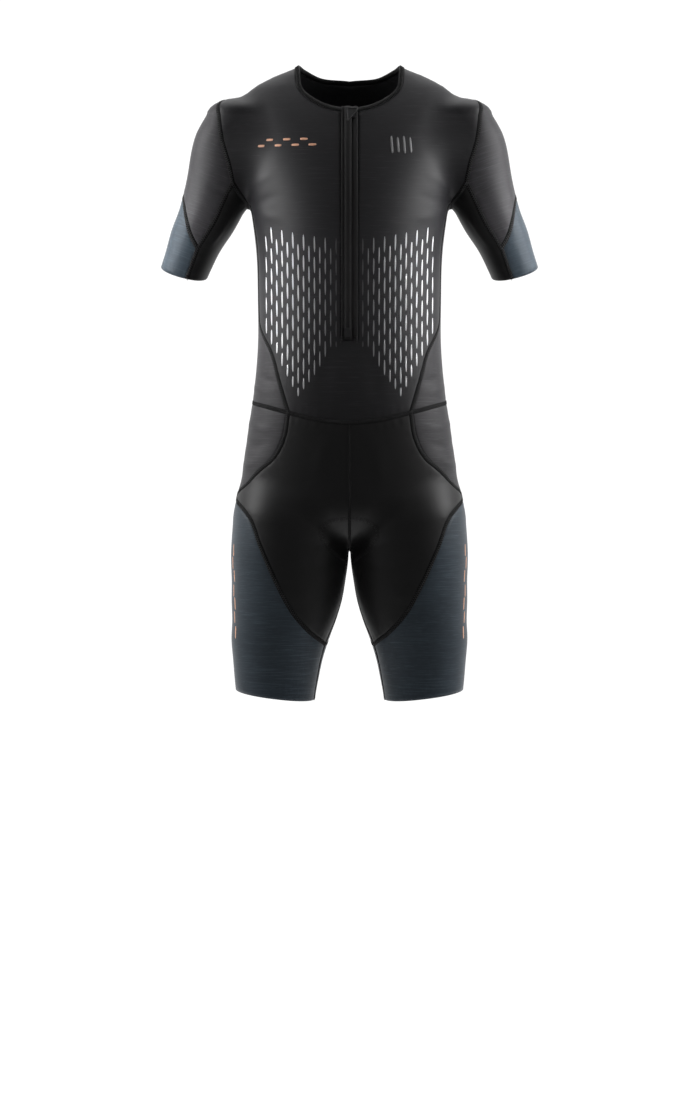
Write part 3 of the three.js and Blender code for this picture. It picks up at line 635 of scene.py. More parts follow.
@dataclass
class Relief:
    """How far the cloth stands off the smooth form at each place.

    Attributes:
        form: The worn form.
        pattern: The seams, which draw the cloth in.
        sink: How deep a seam draws the cloth in.
        reach: How far from the seam that is felt.
        pucker: Height of the small waves beside a seam.
        pucker_length: Length of one such wave.
        dot_step: Distance between the places that a seam is felt from.
        other_phase: How far the waves of the right half run ahead, in radians.
        fold_wave: How far a fold's wave runs from its start to its end, in radians.
        folds: The creases.
        seam_names: The seams.
    """

    form: WornForm
    pattern: Pattern
    sink: float = 0.75
    reach: float = 3.9
    pucker: float = 0.16
    pucker_length: float = 13.0
    dot_step: float = 1.5
    other_phase: float = 1.7
    fold_wave: float = 7.0
    folds: tuple[Fold, ...] = field(default_factory=worn_folds)
    seam_names: tuple[str, ...] = (
        "shoulder", "armhole_front", "armhole_back", "underarm_front", "underarm_back",
        "armpit", "side_front", "side_back", "waist_front", "waist_side", "waist_back",
        "hip_front", "hip_back", "thigh_front", "thigh_back", "inseam", "inseam_low",
        "cap_front", "cap_back", "cuff_top_front", "cuff_top_back", "cuff_side_front",
        "cuff_side_back")

    def __post_init__(self) -> None:
        """Collects the seams and the folds as places."""
        dots = []
        runs = []
        for name in self.seam_names:
            line = self.pattern.lines[name]
            length = norm(np.diff(line, axis=0), axis=1).sum()
            count = max(int(length / self.dot_step), 4)
            dots.append(even_line(line, count))
            runs.append(np.linspace(0, length, count + 1))
        self._dots = np.vstack(dots)
        self._runs = np.concatenate(runs)
        self._tree = KDTree(len(self._dots))
        for i, dot in enumerate(self._dots):
            self._tree.insert(dot, i)
        self._tree.balance()
        self._creases = [
            self.form.settle(smooth_line(self.form.places(fold.spots), 40)) for fold in self.folds]

    def heights(self, points: Points) -> Points:
        """Height of the cloth over the smooth form.

        Args:
            points: Places on the form.

        Returns:
            One height a place.
        """
        folded = left_half(points)
        side = np.where(points[:, 0] < 0, self.other_phase, 0.0)
        total = np.zeros(len(points))
        for k, (fold, line) in enumerate(zip(self.folds, self._creases)):
            total += self._fold_height(fold, line, folded, side + k)
        return total + self._seam_height(folded, side)

    def _fold_height(self, fold: Fold, line: Points, points: Points,
                     phase: Points) -> Points:
        """Height that one fold adds."""
        height = np.zeros(len(points))
        low = line.min(axis=0) - 3 * fold.width
        high = line.max(axis=0) + 3 * fold.width
        near = np.where(((points > low) & (points < high)).all(axis=1))[0]
        if len(near) == 0:
            return height
        gaps = norm(points[near][:, None] - line[None], axis=2)
        nearest = gaps.argmin(axis=1)
        along = nearest / (len(line) - 1)
        taper = np.sin(np.pi * np.clip(along * 0.92 + 0.04, 0, 1)) ** 0.7
        wave = 1 + fold.wander * np.sin(self.fold_wave * along + phase[near])
        height[near] = fold.depth * np.exp(-(gaps.min(axis=1) / fold.width) ** 2) * taper * wave
        return height

    def _seam_height(self, points: Points, phase: Points) -> Points:
        """Height that the seams add: a trough with small waves beside it."""
        found = [self._tree.find(p) for p in points]
        gap = np.array([item[2] for item in found])
        run = self._runs[np.array([item[1] for item in found])]
        trough = -self.sink * np.exp(-(gap / self.reach) ** 2)
        beside = np.exp(-((gap - 2.2 * self.reach) / (1.3 * self.reach)) ** 2)
        wave = (np.sin(2 * np.pi * run / self.pucker_length + phase)
                + 0.6 * np.sin(2 * np.pi * run / (1.73 * self.pucker_length) + 2 * phase))
        return trough + self.pucker * beside * wave


class Knit(Enum):
    """How a panel's knit lies: level on the body, or square to a sleeve."""

    LEVEL = 0.0
    LEFT_SLEEVE = -21.0
    RIGHT_SLEEVE = 21.0


def knit_places(points: Points, knit: Knit) -> Points:
    """The places turned so that their z runs down the panel's knit."""
    turn = math.radians(knit.value)
    x, y, z = points.T
    return np.stack([x * math.cos(turn) - z * math.sin(turn), y,
                     x * math.sin(turn) + z * math.cos(turn)], axis=1)


def linked(name: str, data: bpy.types.ID) -> Object:
    """Makes an object of its data and links it to the scene."""
    made = bpy.data.objects.new(name, data)
    bpy.context.scene.collection.objects.link(made)
    return made


def made_object(name: str, corners: Points, faces: Sequence[Sequence[int]],
                material: Material, smooth: bool = True) -> Object:
    """Makes a mesh object from corners in millimetres.

    Args:
        name: Name of the object.
        corners: Corner places.
        faces: Corner numbers of each face.
        material: The finish.
        smooth: Whether its faces are shaded smooth.

    Returns:
        The linked object.
    """
    mesh = bpy.data.meshes.new(name)
    mesh.from_pydata((corners * MM).tolist(), [], [list(face) for face in faces])
    mesh.polygons.foreach_set("use_smooth", [smooth] * len(mesh.polygons))
    mesh.materials.append(material)
    mesh.update()
    return linked(name, mesh)


def add_vectors(mesh: bpy.types.Mesh, name: str, values: Points) -> None:
    """Stores one vector a corner on a mesh."""
    layer = mesh.attributes.new(name, "FLOAT_VECTOR", "POINT")
    layer.data.foreach_set("vector", np.asarray(values, np.float32).ravel())


def helper_of(name: str, corners: Points, edges: Sequence[tuple[int, int]],
              **vectors: Points) -> Object:
    """Makes a helper of bare places for a tree to read.

    Args:
        name: Name of the helper.
        corners: The places, in millimetres.
        edges: Pairs of their numbers.
        vectors: One vector a place, by the name that it is stored under.

    Returns:
        The linked object.
    """
    mesh = bpy.data.meshes.new(name)
    mesh.from_pydata((corners * MM).tolist(), edges, [])
    for key, values in vectors.items():
        add_vectors(mesh, key, values)
    return linked(name, mesh)


@dataclass
class Weave:
    """Grids and shells of cloth on the form.

    Attributes:
        form: The worn form.
        relief: How the cloth stands off it.
        fine: How many small lengths each panel facet is divided into.
        wall: Thickness of the cloth.
        coarse_passes: Rounds of evening before a panel's facets are divided.
        fine_passes: Rounds of evening after that.
    """

    form: WornForm
    relief: Relief
    fine: int
    wall: float = 1.2
    coarse_passes: int = 30
    fine_passes: int = 3

    def panel(self, top: Points, bottom: Points, left: Points, right: Points) -> Points:
        """An even grid on the form between four lines.

        Args:
            top: Upper line. Top and bottom run the same way, and so do left and right.
            bottom: Lower line.
            left: Line from top's start to bottom's start.
            right: Line from top's end to bottom's end.

        Returns:
            The grid, row by row.
        """
        k = self.fine
        coarse = self._spread(top[::k], bottom[::k], left[::k], right[::k])
        coarse = self._evened(coarse, self.coarse_passes, 4)
        grid = self._finer(coarse, k)
        grid[0], grid[-1], grid[:, 0], grid[:, -1] = top, bottom, left, right
        return self._evened(grid, self.fine_passes, 2)

    def _spread(self, top: Points, bottom: Points, left: Points, right: Points) -> Points:
        """The plain grid between four lines, settled on the form."""
        v = np.linspace(0, 1, len(left))[:, None, None]
        u = np.linspace(0, 1, len(top))[None, :, None]
        grid = (left[:, None] * (1 - u) + right[:, None] * u + top[None] * (1 - v)
                + bottom[None] * v - top[0] * (1 - u) * (1 - v) - top[-1] * u * (1 - v)
                - bottom[0] * (1 - u) * v - bottom[-1] * u * v)
        grid[1:-1, 1:-1] = self.form.settle(grid[1:-1, 1:-1], 6)
        return grid

    def _evened(self, grid: Points, passes: int, steps: int) -> Points:
        """The grid with its inner places drawn to the middle of their neighbours."""
        for _ in range(passes):
            middle = (grid[:-2, 1:-1] + grid[2:, 1:-1] + grid[1:-1, :-2] + grid[1:-1, 2:]) / 4
            grid[1:-1, 1:-1] = self.form.settle(middle, steps)
        grid[1:-1, 1:-1] = self.form.settle(grid[1:-1, 1:-1], 2)
        return grid

    @staticmethod
    def _finer(grid: Points, k: int) -> Points:
        """The grid with every facet divided k times each way."""
        for axis in (0, 1):
            count = grid.shape[axis]
            place = np.linspace(0, count - 1, (count - 1) * k + 1)
            low = np.minimum(place.astype(int), count - 2)
            shape = (-1, 1, 1) if axis == 0 else (1, -1, 1)
            share = (place - low).reshape(shape)
            grid = (np.take(grid, low, axis) * (1 - share)
                    + np.take(grid, low + 1, axis) * share)
        return grid

    def shell(self, name: str, grids: Sequence[Points], material: Material,
              knit: Knit) -> Object:
        """A closed thin shell over one or more grids that share edges.

        Args:
            name: Name of the object.
            grids: The panel's grids.
            material: Its finish.
            knit: How its knit lies.

        Returns:
            The object.
        """
        corners, quads = self._merged(grids)
        normal = self.form.normal(corners)
        quads = self._facing_out(corners, normal, quads)
        height = self.relief.heights(corners)[:, None]
        outer = corners + normal * height
        inner = outer - normal * self.wall
        count = len(corners)
        faces = list(quads)
        faces += [[i + count for i in reversed(quad)] for quad in quads]
        faces += [[b, a, a + count, b + count] for a, b in self._rim(quads)]
        both = np.vstack([outer, inner])
        made = made_object(name, both, faces, material)
        add_vectors(made.data, "knit", knit_places(np.vstack([corners, corners]), knit) * MM)
        return made

    @staticmethod
    def _merged(grids: Sequence[Points]) -> tuple[Points, list[list[int]]]:
        """Corners and faces of the grids, with shared places once."""
        index: dict[tuple[float, float, float], int] = {}
        corners: list[Points] = []
        faces = []
        for grid in grids:
            rows, columns = grid.shape[:2]
            numbers = np.empty((rows, columns), int)
            keys = np.round(grid, 3) + 0.0
            for r in range(rows):
                for c in range(columns):
                    key = tuple(keys[r, c])
                    if key not in index:
                        index[key] = len(corners)
                        corners.append(grid[r, c])
                    numbers[r, c] = index[key]
            for r in range(rows - 1):
                for c in range(columns - 1):
                    ring = (numbers[r, c], numbers[r + 1, c], numbers[r + 1, c + 1],
                            numbers[r, c + 1])
                    face = [int(n) for i, n in enumerate(ring) if n != ring[i - 1]]
                    if len(face) > 2:
                        faces.append(face)
        return np.array(corners), faces

    @staticmethod
    def _facing_out(corners: Points, normal: Points, faces: list[list[int]]) -> list[list[int]]:
        """The faces, turned to face away from the form."""
        picked = np.array([face[:3] for face in faces])
        a, b, c = corners[picked[:, 0]], corners[picked[:, 1]], corners[picked[:, 2]]
        sign = (np.cross(b - a, c - a) * normal[picked[:, 0]]).sum()
        return faces if sign > 0 else [face[::-1] for face in faces]

    @staticmethod
    def _rim(faces: Sequence[Sequence[int]]) -> list[tuple[int, int]]:
        """The edges that only one face has."""
        edges: dict[tuple[int, int], bool] = {}
        for face in faces:
            for i, b in enumerate(face):
                a = face[i - 1]
                if (b, a) in edges:
                    del edges[(b, a)]
                else:
                    edges[(a, b)] = True
        return list(edges)


class Nodes:
    """A node tree, with short calls that add a node and fill its inputs."""

    def __init__(self, tree: bpy.types.NodeTree) -> None:
        """Keeps the tree."""
        self.tree = tree

    def fill(self, node: bpy.types.Node, inputs: Inputs) -> None:
        """Gives a node its inputs: a socket is linked, and a plain value is set."""
        for name, value in inputs.items():
            if isinstance(value, Socket):
                self.tree.links.new(value, node.inputs[name])
            else:
                node.inputs[name].default_value = value

    def node(self, kind: str, inputs: Inputs | None = None,
             **options: object) -> bpy.types.Node:
        """Adds a node.

        Args:
            kind: Its type.
            inputs: A socket or a plain value for each input that isn't left as it is.
            options: Its options.

        Returns:
            The node.
        """
        node = self.tree.nodes.new(kind)
        for name, value in options.items():
            setattr(node, name, value)
        self.fill(node, inputs or {})
        return node

    def add(self, kind: str, inputs: Inputs | None = None, out: str | int = 0,
            **options: object) -> Socket:
        """Adds a node and gives the output of a name or number."""
        return self.node(kind, inputs, **options).outputs[out]

    def math(self, operation: str, *values: Socket | float) -> Socket:
        """One step of arithmetic."""
        return self.add("ShaderNodeMath", dict(enumerate(values)), operation=operation)


class Board(Nodes):
    """A material's node board, with short calls for what the finishes share."""

    BAND_RATE = 20.0

    def __init__(self, name: str) -> None:
        """Makes the material and empties its board."""
        self.material = bpy.data.materials.new(name)
        self.material.use_nodes = True
        super().__init__(self.material.node_tree)
        self.tree.nodes.clear()
        self.shader = self.node("ShaderNodeBsdfPrincipled")
        self.node("ShaderNodeOutputMaterial", {"Surface": self.shader.outputs["BSDF"]})

    def knit(self) -> Socket:
        """The knit's own coordinates, in metres."""
        return self.add("ShaderNodeAttribute", out="Vector", attribute_name="knit")

    def place(self) -> Socket:
        """Object coordinates, in metres."""
        return self.add("ShaderNodeTexCoord", out="Object")

    def noise(self, source: Socket, scale: float, detail: float = 2.0,
              roughness: float = 0.5) -> Socket:
        """Noise from 0 to 1."""
        return self.add("ShaderNodeTexNoise", {
            "Vector": source, "Scale": scale, "Detail": detail, "Roughness": roughness}, "Fac")

    def yarn(self, source: Socket, scale: Triple, detail: float, roughness: float) -> Socket:
        """Noise drawn out along the knit, at its own scale along each axis."""
        drawn = self.add("ShaderNodeMapping", {"Vector": source, "Scale": scale})
        return self.noise(drawn, 1.0, detail, roughness)

    def ribs(self, source: Socket, per_metre: float) -> Socket:
        """Even soft ribs, one over the other."""
        return self.add("ShaderNodeTexWave", {
            "Vector": source, "Scale": per_metre / self.BAND_RATE * 2 * math.pi, "Detail": 1.0},
            "Fac", wave_type="BANDS", bands_direction="Z", wave_profile="SIN")

    def sharpened(self, source: Socket, low: float, high: float) -> Socket:
        """The part of a value from low to high, spread from 0 to 1."""
        return self.add("ShaderNodeMapRange", {
            "Value": source, "From Min": low, "From Max": high}, "Result")

    def mixed(self, share: Socket, low: Colour | Socket, high: Colour | Socket) -> Socket:
        """A colour between two colours."""
        low, high = (end if isinstance(end, Socket) else (*end, 1) for end in (low, high))
        return self.add("ShaderNodeMix", {"Factor": share, 6: low, 7: high}, 2,
                        data_type="RGBA")

    def bump(self, height: Socket, strength: float, distance: float,
             under: Socket | None = None) -> Socket:
        """A bump, over an earlier one where that is given."""
        inputs = {"Strength": strength, "Distance": distance, "Height": height}
        if under is not None:
            inputs["Normal"] = under
        return self.add("ShaderNodeBump", inputs, "Normal")

    def dressed(self, **values: object) -> Material:
        """Fills the shader's inputs, with an underscore for a space, and gives the material."""
        self.fill(self.shader, {name.replace("_", " "): v for name, v in values.items()})
        return self.material


def toned(colour: Colour, share: float) -> Colour:
    """The colour made darker or lighter."""
    return tuple(share * c for c in colour)


@dataclass(frozen=True)
class KnitFinish:
    """A fine stretch knit with level streaks of a second yarn.

    Attributes:
        name: Name of the material.
        ground: Colour of the main yarn.
        streak: Colour of the streaks.
        amount: How much of the cloth is streaked, from 0 to 1.
        roughness: Roughness of the surface.
        sheen: Amount of sheen.
        relief: Strength of the knit's bump.
        courses: Rows of stitches in a metre.
        long_yarn: Scale of the streaks across, through and down the cloth.
        short_yarn: Scale of the flecks, likewise.
        tint: Colour of the sheen.
    """

    name: str
    ground: Colour
    streak: Colour
    amount: float
    roughness: float
    sheen: float
    relief: float = 0.35
    courses: float = 900.0
    long_yarn: Triple = (24, 24, 900)
    short_yarn: Triple = (90, 90, 1700)
    tint: Colour = (0.9, 0.92, 0.96)

    def material(self) -> Material:
        """Builds the material."""
        board = Board(self.name)
        knit = board.knit()
        streaky = board.yarn(knit, self.long_yarn, 3.0, 0.62)
        flecky = board.yarn(knit, self.short_yarn, 2.0, 0.5)
        edge = 0.66 - 0.34 * self.amount
        base = board.mixed(board.sharpened(streaky, edge, edge + 0.22), self.ground, self.streak)
        flecked = board.mixed(board.sharpened(flecky, 0.42, 0.72), toned(self.ground, 0.72),
                              base)
        cloudy = board.sharpened(board.noise(knit, 9.0, 3.0, 0.55), 0.3, 0.7)
        grain = board.bump(board.ribs(knit, self.courses), self.relief, 0.00012)
        for height, strength, distance in (
                (board.noise(knit, 1500.0, 1.0), 0.5 * self.relief, 0.0001),
                (streaky, 0.25, 0.00015),
                (board.noise(knit, 38.0), 0.12, 0.0012)):
            grain = board.bump(height, strength, distance, grain)
        return board.dressed(
            Base_Color=board.mixed(cloudy, flecked, base), Normal=grain,
            Roughness=self.roughness, Sheen_Weight=self.sheen, Sheen_Roughness=0.35,
            Sheen_Tint=(*self.tint, 1), Specular_IOR_Level=0.22)


@dataclass(frozen=True)
class YarnFinish:
    """Plain thread, tape or binding.

    Attributes:
        name: Name of the material.
        colour: Colour of the yarn.
        roughness: Roughness of the surface.
        sheen: Amount of sheen.
        grain: Size of the yarn's grain, in grains a metre.
    """

    name: str
    colour: Colour
    roughness: float
    sheen: float
    grain: float = 1600.0

    def material(self) -> Material:
        """Builds the material."""
        board = Board(self.name)
        fibre = board.noise(board.place(), self.grain, 2.0, 0.6)
        dark, light = toned(self.colour, 0.6), toned(self.colour, 1.35)
        return board.dressed(
            Base_Color=board.mixed(board.sharpened(fibre, 0.3, 0.7), dark, light),
            Normal=board.bump(fibre, 0.4, 0.0001), Roughness=self.roughness,
            Sheen_Weight=self.sheen, Sheen_Roughness=0.4, Specular_IOR_Level=0.2)


@dataclass(frozen=True)
class HardFinish:
    """Moulded plastic or a coated metal part, with faint scuffs.

    Attributes:
        name: Name of the material.
        colour: Colour of the piece.
        roughness: Roughness of the surface.
        scuffed: How much rougher the scuffs are.
    """

    name: str
    colour: Colour
    roughness: float
    scuffed: float = 0.18

    def material(self) -> Material:
        """Builds the material."""
        board = Board(self.name)
        place = board.place()
        worn = board.sharpened(board.noise(place, 260.0, 4.0, 0.6), 0.35, 0.75)
        rough = board.add("ShaderNodeMapRange", {
            "Value": worn, "To Min": self.roughness, "To Max": self.roughness + self.scuffed})
        return board.dressed(
            Base_Color=board.mixed(worn, self.colour, toned(self.colour, 1.5)), Roughness=rough,
            Normal=board.bump(board.noise(place, 2400.0), 0.25, 0.00006),
            Specular_IOR_Level=0.3)


@dataclass(frozen=True)
class PrintFinish:
    """A printed film on the cloth, which may grow brighter towards the flanks.

    Attributes:
        name: Name of the material.
        dark: Colour at the suit's middle.
        bright: Colour at the flanks.
        roughness: Roughness of the film.
        metal: How metallic it looks.
        flank: Distances from the middle between which it grows brighter, in metres.
    """

    name: str
    dark: Colour
    bright: Colour
    roughness: float
    metal: float = 0.0
    flank: tuple[float, float] = (0.018, 0.125)

    def material(self) -> Material:
        """Builds the material."""
        board = Board(self.name)
        place = board.place()
        across = board.math("ABSOLUTE", board.add("ShaderNodeSeparateXYZ", {"Vector": place}, "X"))
        flank = board.sharpened(across, *self.flank)
        speckle = board.sharpened(board.noise(place, 700.0, 3.0), 0.25, 0.8)
        worn = board.mixed(flank, toned(self.dark, 0.8), self.bright)
        tone = board.mixed(flank, self.dark, self.bright)
        return board.dressed(
            Base_Color=board.mixed(speckle, worn, tone),
            Normal=board.bump(speckle, 0.12, 0.0001), Roughness=self.roughness,
            Metallic=self.metal, Coat_Weight=0.25, Coat_Roughness=0.2)


class Wardrobe:
    """Every finish of the suit, built once."""

    def __init__(self) -> None:
        """Builds the materials."""
        self.torso = KnitFinish(
            "satin_knit", (0.0125, 0.0121, 0.0137), (0.03, 0.029, 0.032),
            0.3, 0.5, 0.08).material()
        self.smooth = KnitFinish(
            "smooth_black_knit", (0.0078, 0.0076, 0.008), (0.0118, 0.0114, 0.012),
            0.15, 0.5, 0.02, 0.25).material()
        self.heather = KnitFinish(
            "heather_grey_knit", (0.0265, 0.0252, 0.028), (0.06, 0.0575, 0.0635),
            0.4, 0.56, 0.1).material()
        self.slate = KnitFinish(
            "slate_melange_knit", (0.026, 0.0365, 0.0475), (0.053, 0.073, 0.092),
            0.5, 0.56, 0.2).material()
        self.tape = YarnFinish("seam_tape", (0.0028, 0.0028, 0.003), 0.8, 0.02).material()
        self.thread = YarnFinish(
            "overlock_thread", (0.019, 0.0185, 0.0195), 0.7, 0.05).material()
        self.binding = YarnFinish(
            "ribbed_binding", (0.004, 0.004, 0.0042), 0.7, 0.04).material()
        self.zip_cloth = YarnFinish(
            "zip_cloth", (0.0058, 0.0057, 0.006), 0.68, 0.03).material()
        self.hard = HardFinish("coated_slider", (0.008, 0.008, 0.0086), 0.34).material()
        self.moulded = HardFinish("moulded_tab", (0.0085, 0.0085, 0.009), 0.46).material()
        self.silver = PrintFinish(
            "silver_film", (0.03, 0.03, 0.032), (0.66, 0.66, 0.68), 0.3, 0.25).material()
        self.copper = PrintFinish(
            "copper_film", (0.62, 0.32, 0.2), (0.62, 0.32, 0.2), 0.5).material()
        self.pewter = PrintFinish(
            "pewter_film", (0.13, 0.13, 0.135), (0.13, 0.13, 0.135), 0.45).material()


class Tree(Nodes):
    """A Geometry Nodes tree with named inputs, built in the script."""

    def __init__(self, name: str, **sizes: float) -> None:
        """Makes an empty tree.

        Args:
            name: Name of the tree.
            sizes: Its named inputs, each with a usual value. A finish is added to them.
        """
        super().__init__(bpy.data.node_groups.new(name, "GeometryNodeTree"))
        self.tree.interface.new_socket("Geometry", in_out="OUTPUT",
                                       socket_type="NodeSocketGeometry")
        self.names: dict[str, str] = {}
        self._add_input("Geometry", "Geometry")
        for size, value in sizes.items():
            kind = "Int" if isinstance(value, int) else "Float"
            self._add_input(size, kind).default_value = value
        self._add_input("Finish", "Material")
        self.given = self.node("NodeGroupInput").outputs

    def _add_input(self, name: str, kind: str) -> bpy.types.NodeTreeInterfaceSocket:
        """Adds a named input and keeps its identifier."""
        socket = self.tree.interface.new_socket(name, in_out="INPUT",
                                                socket_type="NodeSocket" + kind)
        self.names[name] = socket.identifier
        return socket

    def vector(self, name: str) -> Socket:
        """The vectors stored under a name."""
        return self.add("GeometryNodeInputNamedAttribute", {"Name": name},
                        data_type="FLOAT_VECTOR")

    def aligned(self, vector: Socket, axis: str, pivot: str = "AUTO",
                turned: Socket | None = None) -> Socket:
        """A rotation that lays an axis along a vector.

        Args:
            vector: The vector.
            axis: The axis.
            pivot: The axis it is turned about.
            turned: An earlier rotation.

        Returns:
            The rotation.
        """
        inputs = {"Vector": vector}
        if turned is not None:
            inputs["Rotation"] = turned
        return self.add("FunctionNodeAlignRotationToVector", inputs, axis=axis,
                        pivot_axis=pivot)

    def finished(self, **sown: Socket) -> Tree:
        """Ends the tree: shapes sown on points, made real, shaded smooth, with its finish.

        Args:
            sown: Inputs of the node that sows them.

        Returns:
            The tree itself.
        """
        shapes = self.add("GeometryNodeInstanceOnPoints", sown)
        real = self.add("GeometryNodeRealizeInstances", {"Geometry": shapes})
        smooth = self.add("GeometryNodeSetShadeSmooth", {"Geometry": real})
        dressed = self.add("GeometryNodeSetMaterial", {
            "Geometry": smooth, "Material": self.given["Finish"]})
        self.node("NodeGroupOutput", {"Geometry": dressed})
        return self

    def run(self, source: Object, name: str, values: dict[str, object]) -> Object:
        """Runs the tree on an object and keeps the result as a plain mesh.

        Args:
            source: The object that the tree reads; it is removed.
            name: Name of the new object.
            values: Values of the named inputs.

        Returns:
            The new object.
        """
        modifier = source.modifiers.new("tree", "NODES")
        modifier.node_group = self.tree
        for key, value in values.items():
            modifier[self.names[key]] = value
        source.update_tag()
        graph = bpy.context.evaluated_depsgraph_get()
        mesh = bpy.data.meshes.new_from_object(source.evaluated_get(graph), depsgraph=graph)
        mesh.name = name
        source.modifiers.remove(modifier)
        plain = source.data
        bpy.data.objects.remove(source)
        bpy.data.meshes.remove(plain)
        return linked(name, mesh)


def stitch_tree() -> Tree:
    """Threads laid at an even pitch along paths, turned left and right in turn.

    Returns:
        The tree. Its paths are edges whose corners carry the surface's direction as "out".
    """
    tree = Tree("stitches_along_a_path", Pitch=0.002, Length=0.004, Thread=0.0003, Turn=0.6,
                Stray=0.06, Sides=5, Seed=7)
    given = tree.given
    path = tree.add("GeometryNodeMeshToCurve", {"Mesh": given["Geometry"]})
    even = tree.add("GeometryNodeResampleCurve", {"Curve": path, "Length": given["Pitch"]},
                    mode="LENGTH")
    stand = tree.aligned(tree.vector("out"), "Z")
    lie = tree.aligned(tree.add("GeometryNodeInputTangent"), "X", "Z", stand)
    odd = tree.math("MODULO", tree.add("GeometryNodeInputIndex"), 2.0)
    sign = tree.math("SUBTRACT", tree.math("MULTIPLY", odd, 2.0), 1.0)
    stray = tree.add("FunctionNodeRandomValue", {
        2: tree.math("MULTIPLY", given["Stray"], -1.0), 3: given["Stray"],
        "Seed": given["Seed"]}, 1, data_type="FLOAT")
    angle = tree.math("ADD", tree.math("MULTIPLY", sign, given["Turn"]), stray)
    euler = tree.add("ShaderNodeCombineXYZ", {"Z": angle})
    turn = tree.add("FunctionNodeEulerToRotation", {"Euler": euler})
    turned = tree.add("FunctionNodeRotateRotation", {"Rotation": lie, "Rotate By": turn},
                      rotation_space="LOCAL")
    thread = tree.add("GeometryNodeMeshCylinder", {
        "Vertices": given["Sides"], "Radius": given["Thread"], "Depth": given["Length"]},
        fill_type="TRIANGLE_FAN")
    laid = tree.add("GeometryNodeTransform", {
        "Geometry": thread, "Rotation": (0, math.pi / 2, 0)})
    return tree.finished(Points=even, Instance=laid, Rotation=turned)


def film_tree() -> Tree:
    """Slim pointed films sown on places that carry "out", "down" and "size".

    Returns:
        The tree.
    """
    tree = Tree("films_on_places", Segments=10, Rings=6, Taper=1.0)
    given = tree.given
    stand = tree.aligned(tree.vector("out"), "Y")
    lie = tree.aligned(tree.vector("down"), "Z", "Y", stand)
    ball = tree.add("GeometryNodeMeshUVSphere", {
        "Radius": 0.5, "Segments": given["Segments"], "Rings": given["Rings"]})
    place = tree.node("ShaderNodeSeparateXYZ", {"Vector": tree.add("GeometryNodeInputPosition")})
    x, y, z = place.outputs
    end = tree.math("MULTIPLY", tree.math("ABSOLUTE", z), 2.0)
    half = tree.math("MULTIPLY", tree.math("POWER", end, given["Taper"]), 0.5)
    height = tree.math("MULTIPLY", half, tree.math("SIGN", z))
    shaped = tree.add("ShaderNodeCombineXYZ", {"X": x, "Y": y, "Z": height})
    film = tree.add("GeometryNodeSetPosition", {"Geometry": ball, "Position": shaped})
    return tree.finished(Points=given["Geometry"], Instance=film, Rotation=lie,
                         Scale=tree.vector("size"))


@dataclass(frozen=True)
class Stitch:
    """A row of threads.

    Attributes:
        height: Height of the threads' middle over the cloth.
        pitch: Distance from thread to thread.
        length: Length of each thread.
        thread: Radius of the thread.
        turn: Angle between thread and line, in degrees, left and right in turn.
        sides: Sides of the thread.
        stray: Random part of the angle, in radians.
    """

    height: float
    pitch: float
    length: float
    thread: float
    turn: float
    sides: int = 5
    stray: float = 0.06


@dataclass
class Workshop:
    """What every sub-assembly works with."""

    form: WornForm
    pattern: Pattern
    relief: Relief
    weave: Weave
    finishes: Wardrobe
    stitches: Tree
    films: Tree

    @staticmethod
    def ride(piece: Object, slot: str, *nodes: str, body: str = "suit") -> Object:
        """Puts a piece on a body.

        Args:
            piece: The piece.
            slot: The record's material slot. Not used.
            nodes: The CAD nodes whose place it takes.
            body: The body.

        Returns:
            The piece.
        """
        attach(piece, body)
        if nodes:
            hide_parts(*nodes)
        LOG.info("%s: %d faces", piece.name, len(piece.data.polygons))
        return piece

    def raised(self, points: Points, height: float) -> tuple[Points, Points]:
        """Places moved out from the cloth, and the directions they moved in."""
        normal = self.form.normal(points)
        lift = self.relief.heights(points)[:, None] + height
        return points + normal * lift, normal

    def sew(self, name: str, lines: Sequence[Points], stitch: Stitch, finish: Material,
            slot: str) -> Object:
        """Stitches along lines.

        Args:
            name: Name of the piece.
            lines: The lines, on the form.
            stitch: The stitches.
            finish: The thread's material.
            slot: The record's material slot.

        Returns:
            The piece.
        """
        places, ways = self.raised(np.vstack(lines), stitch.height)
        ends = set(np.cumsum([len(line) for line in lines]).tolist())
        edges = [(i - 1, i) for i in range(1, len(places)) if i not in ends]
        path = helper_of(name + "_path", places, edges, out=ways)
        piece = self.stitches.run(path, name, {
            "Pitch": stitch.pitch * MM, "Length": stitch.length * MM,
            "Thread": stitch.thread * MM, "Turn": math.radians(stitch.turn),
            "Stray": stitch.stray, "Sides": stitch.sides, "Seed": 7, "Finish": finish})
        return self.ride(piece, slot)


@dataclass(frozen=True)
class PanelCut:
    """A cut panel: its four sides, its finish and slot, and whether it is on a sleeve."""

    name: str
    top: Points
    bottom: Points
    left: Points
    right: Points
    finish: Material
    slot: str
    sleeve: bool = False


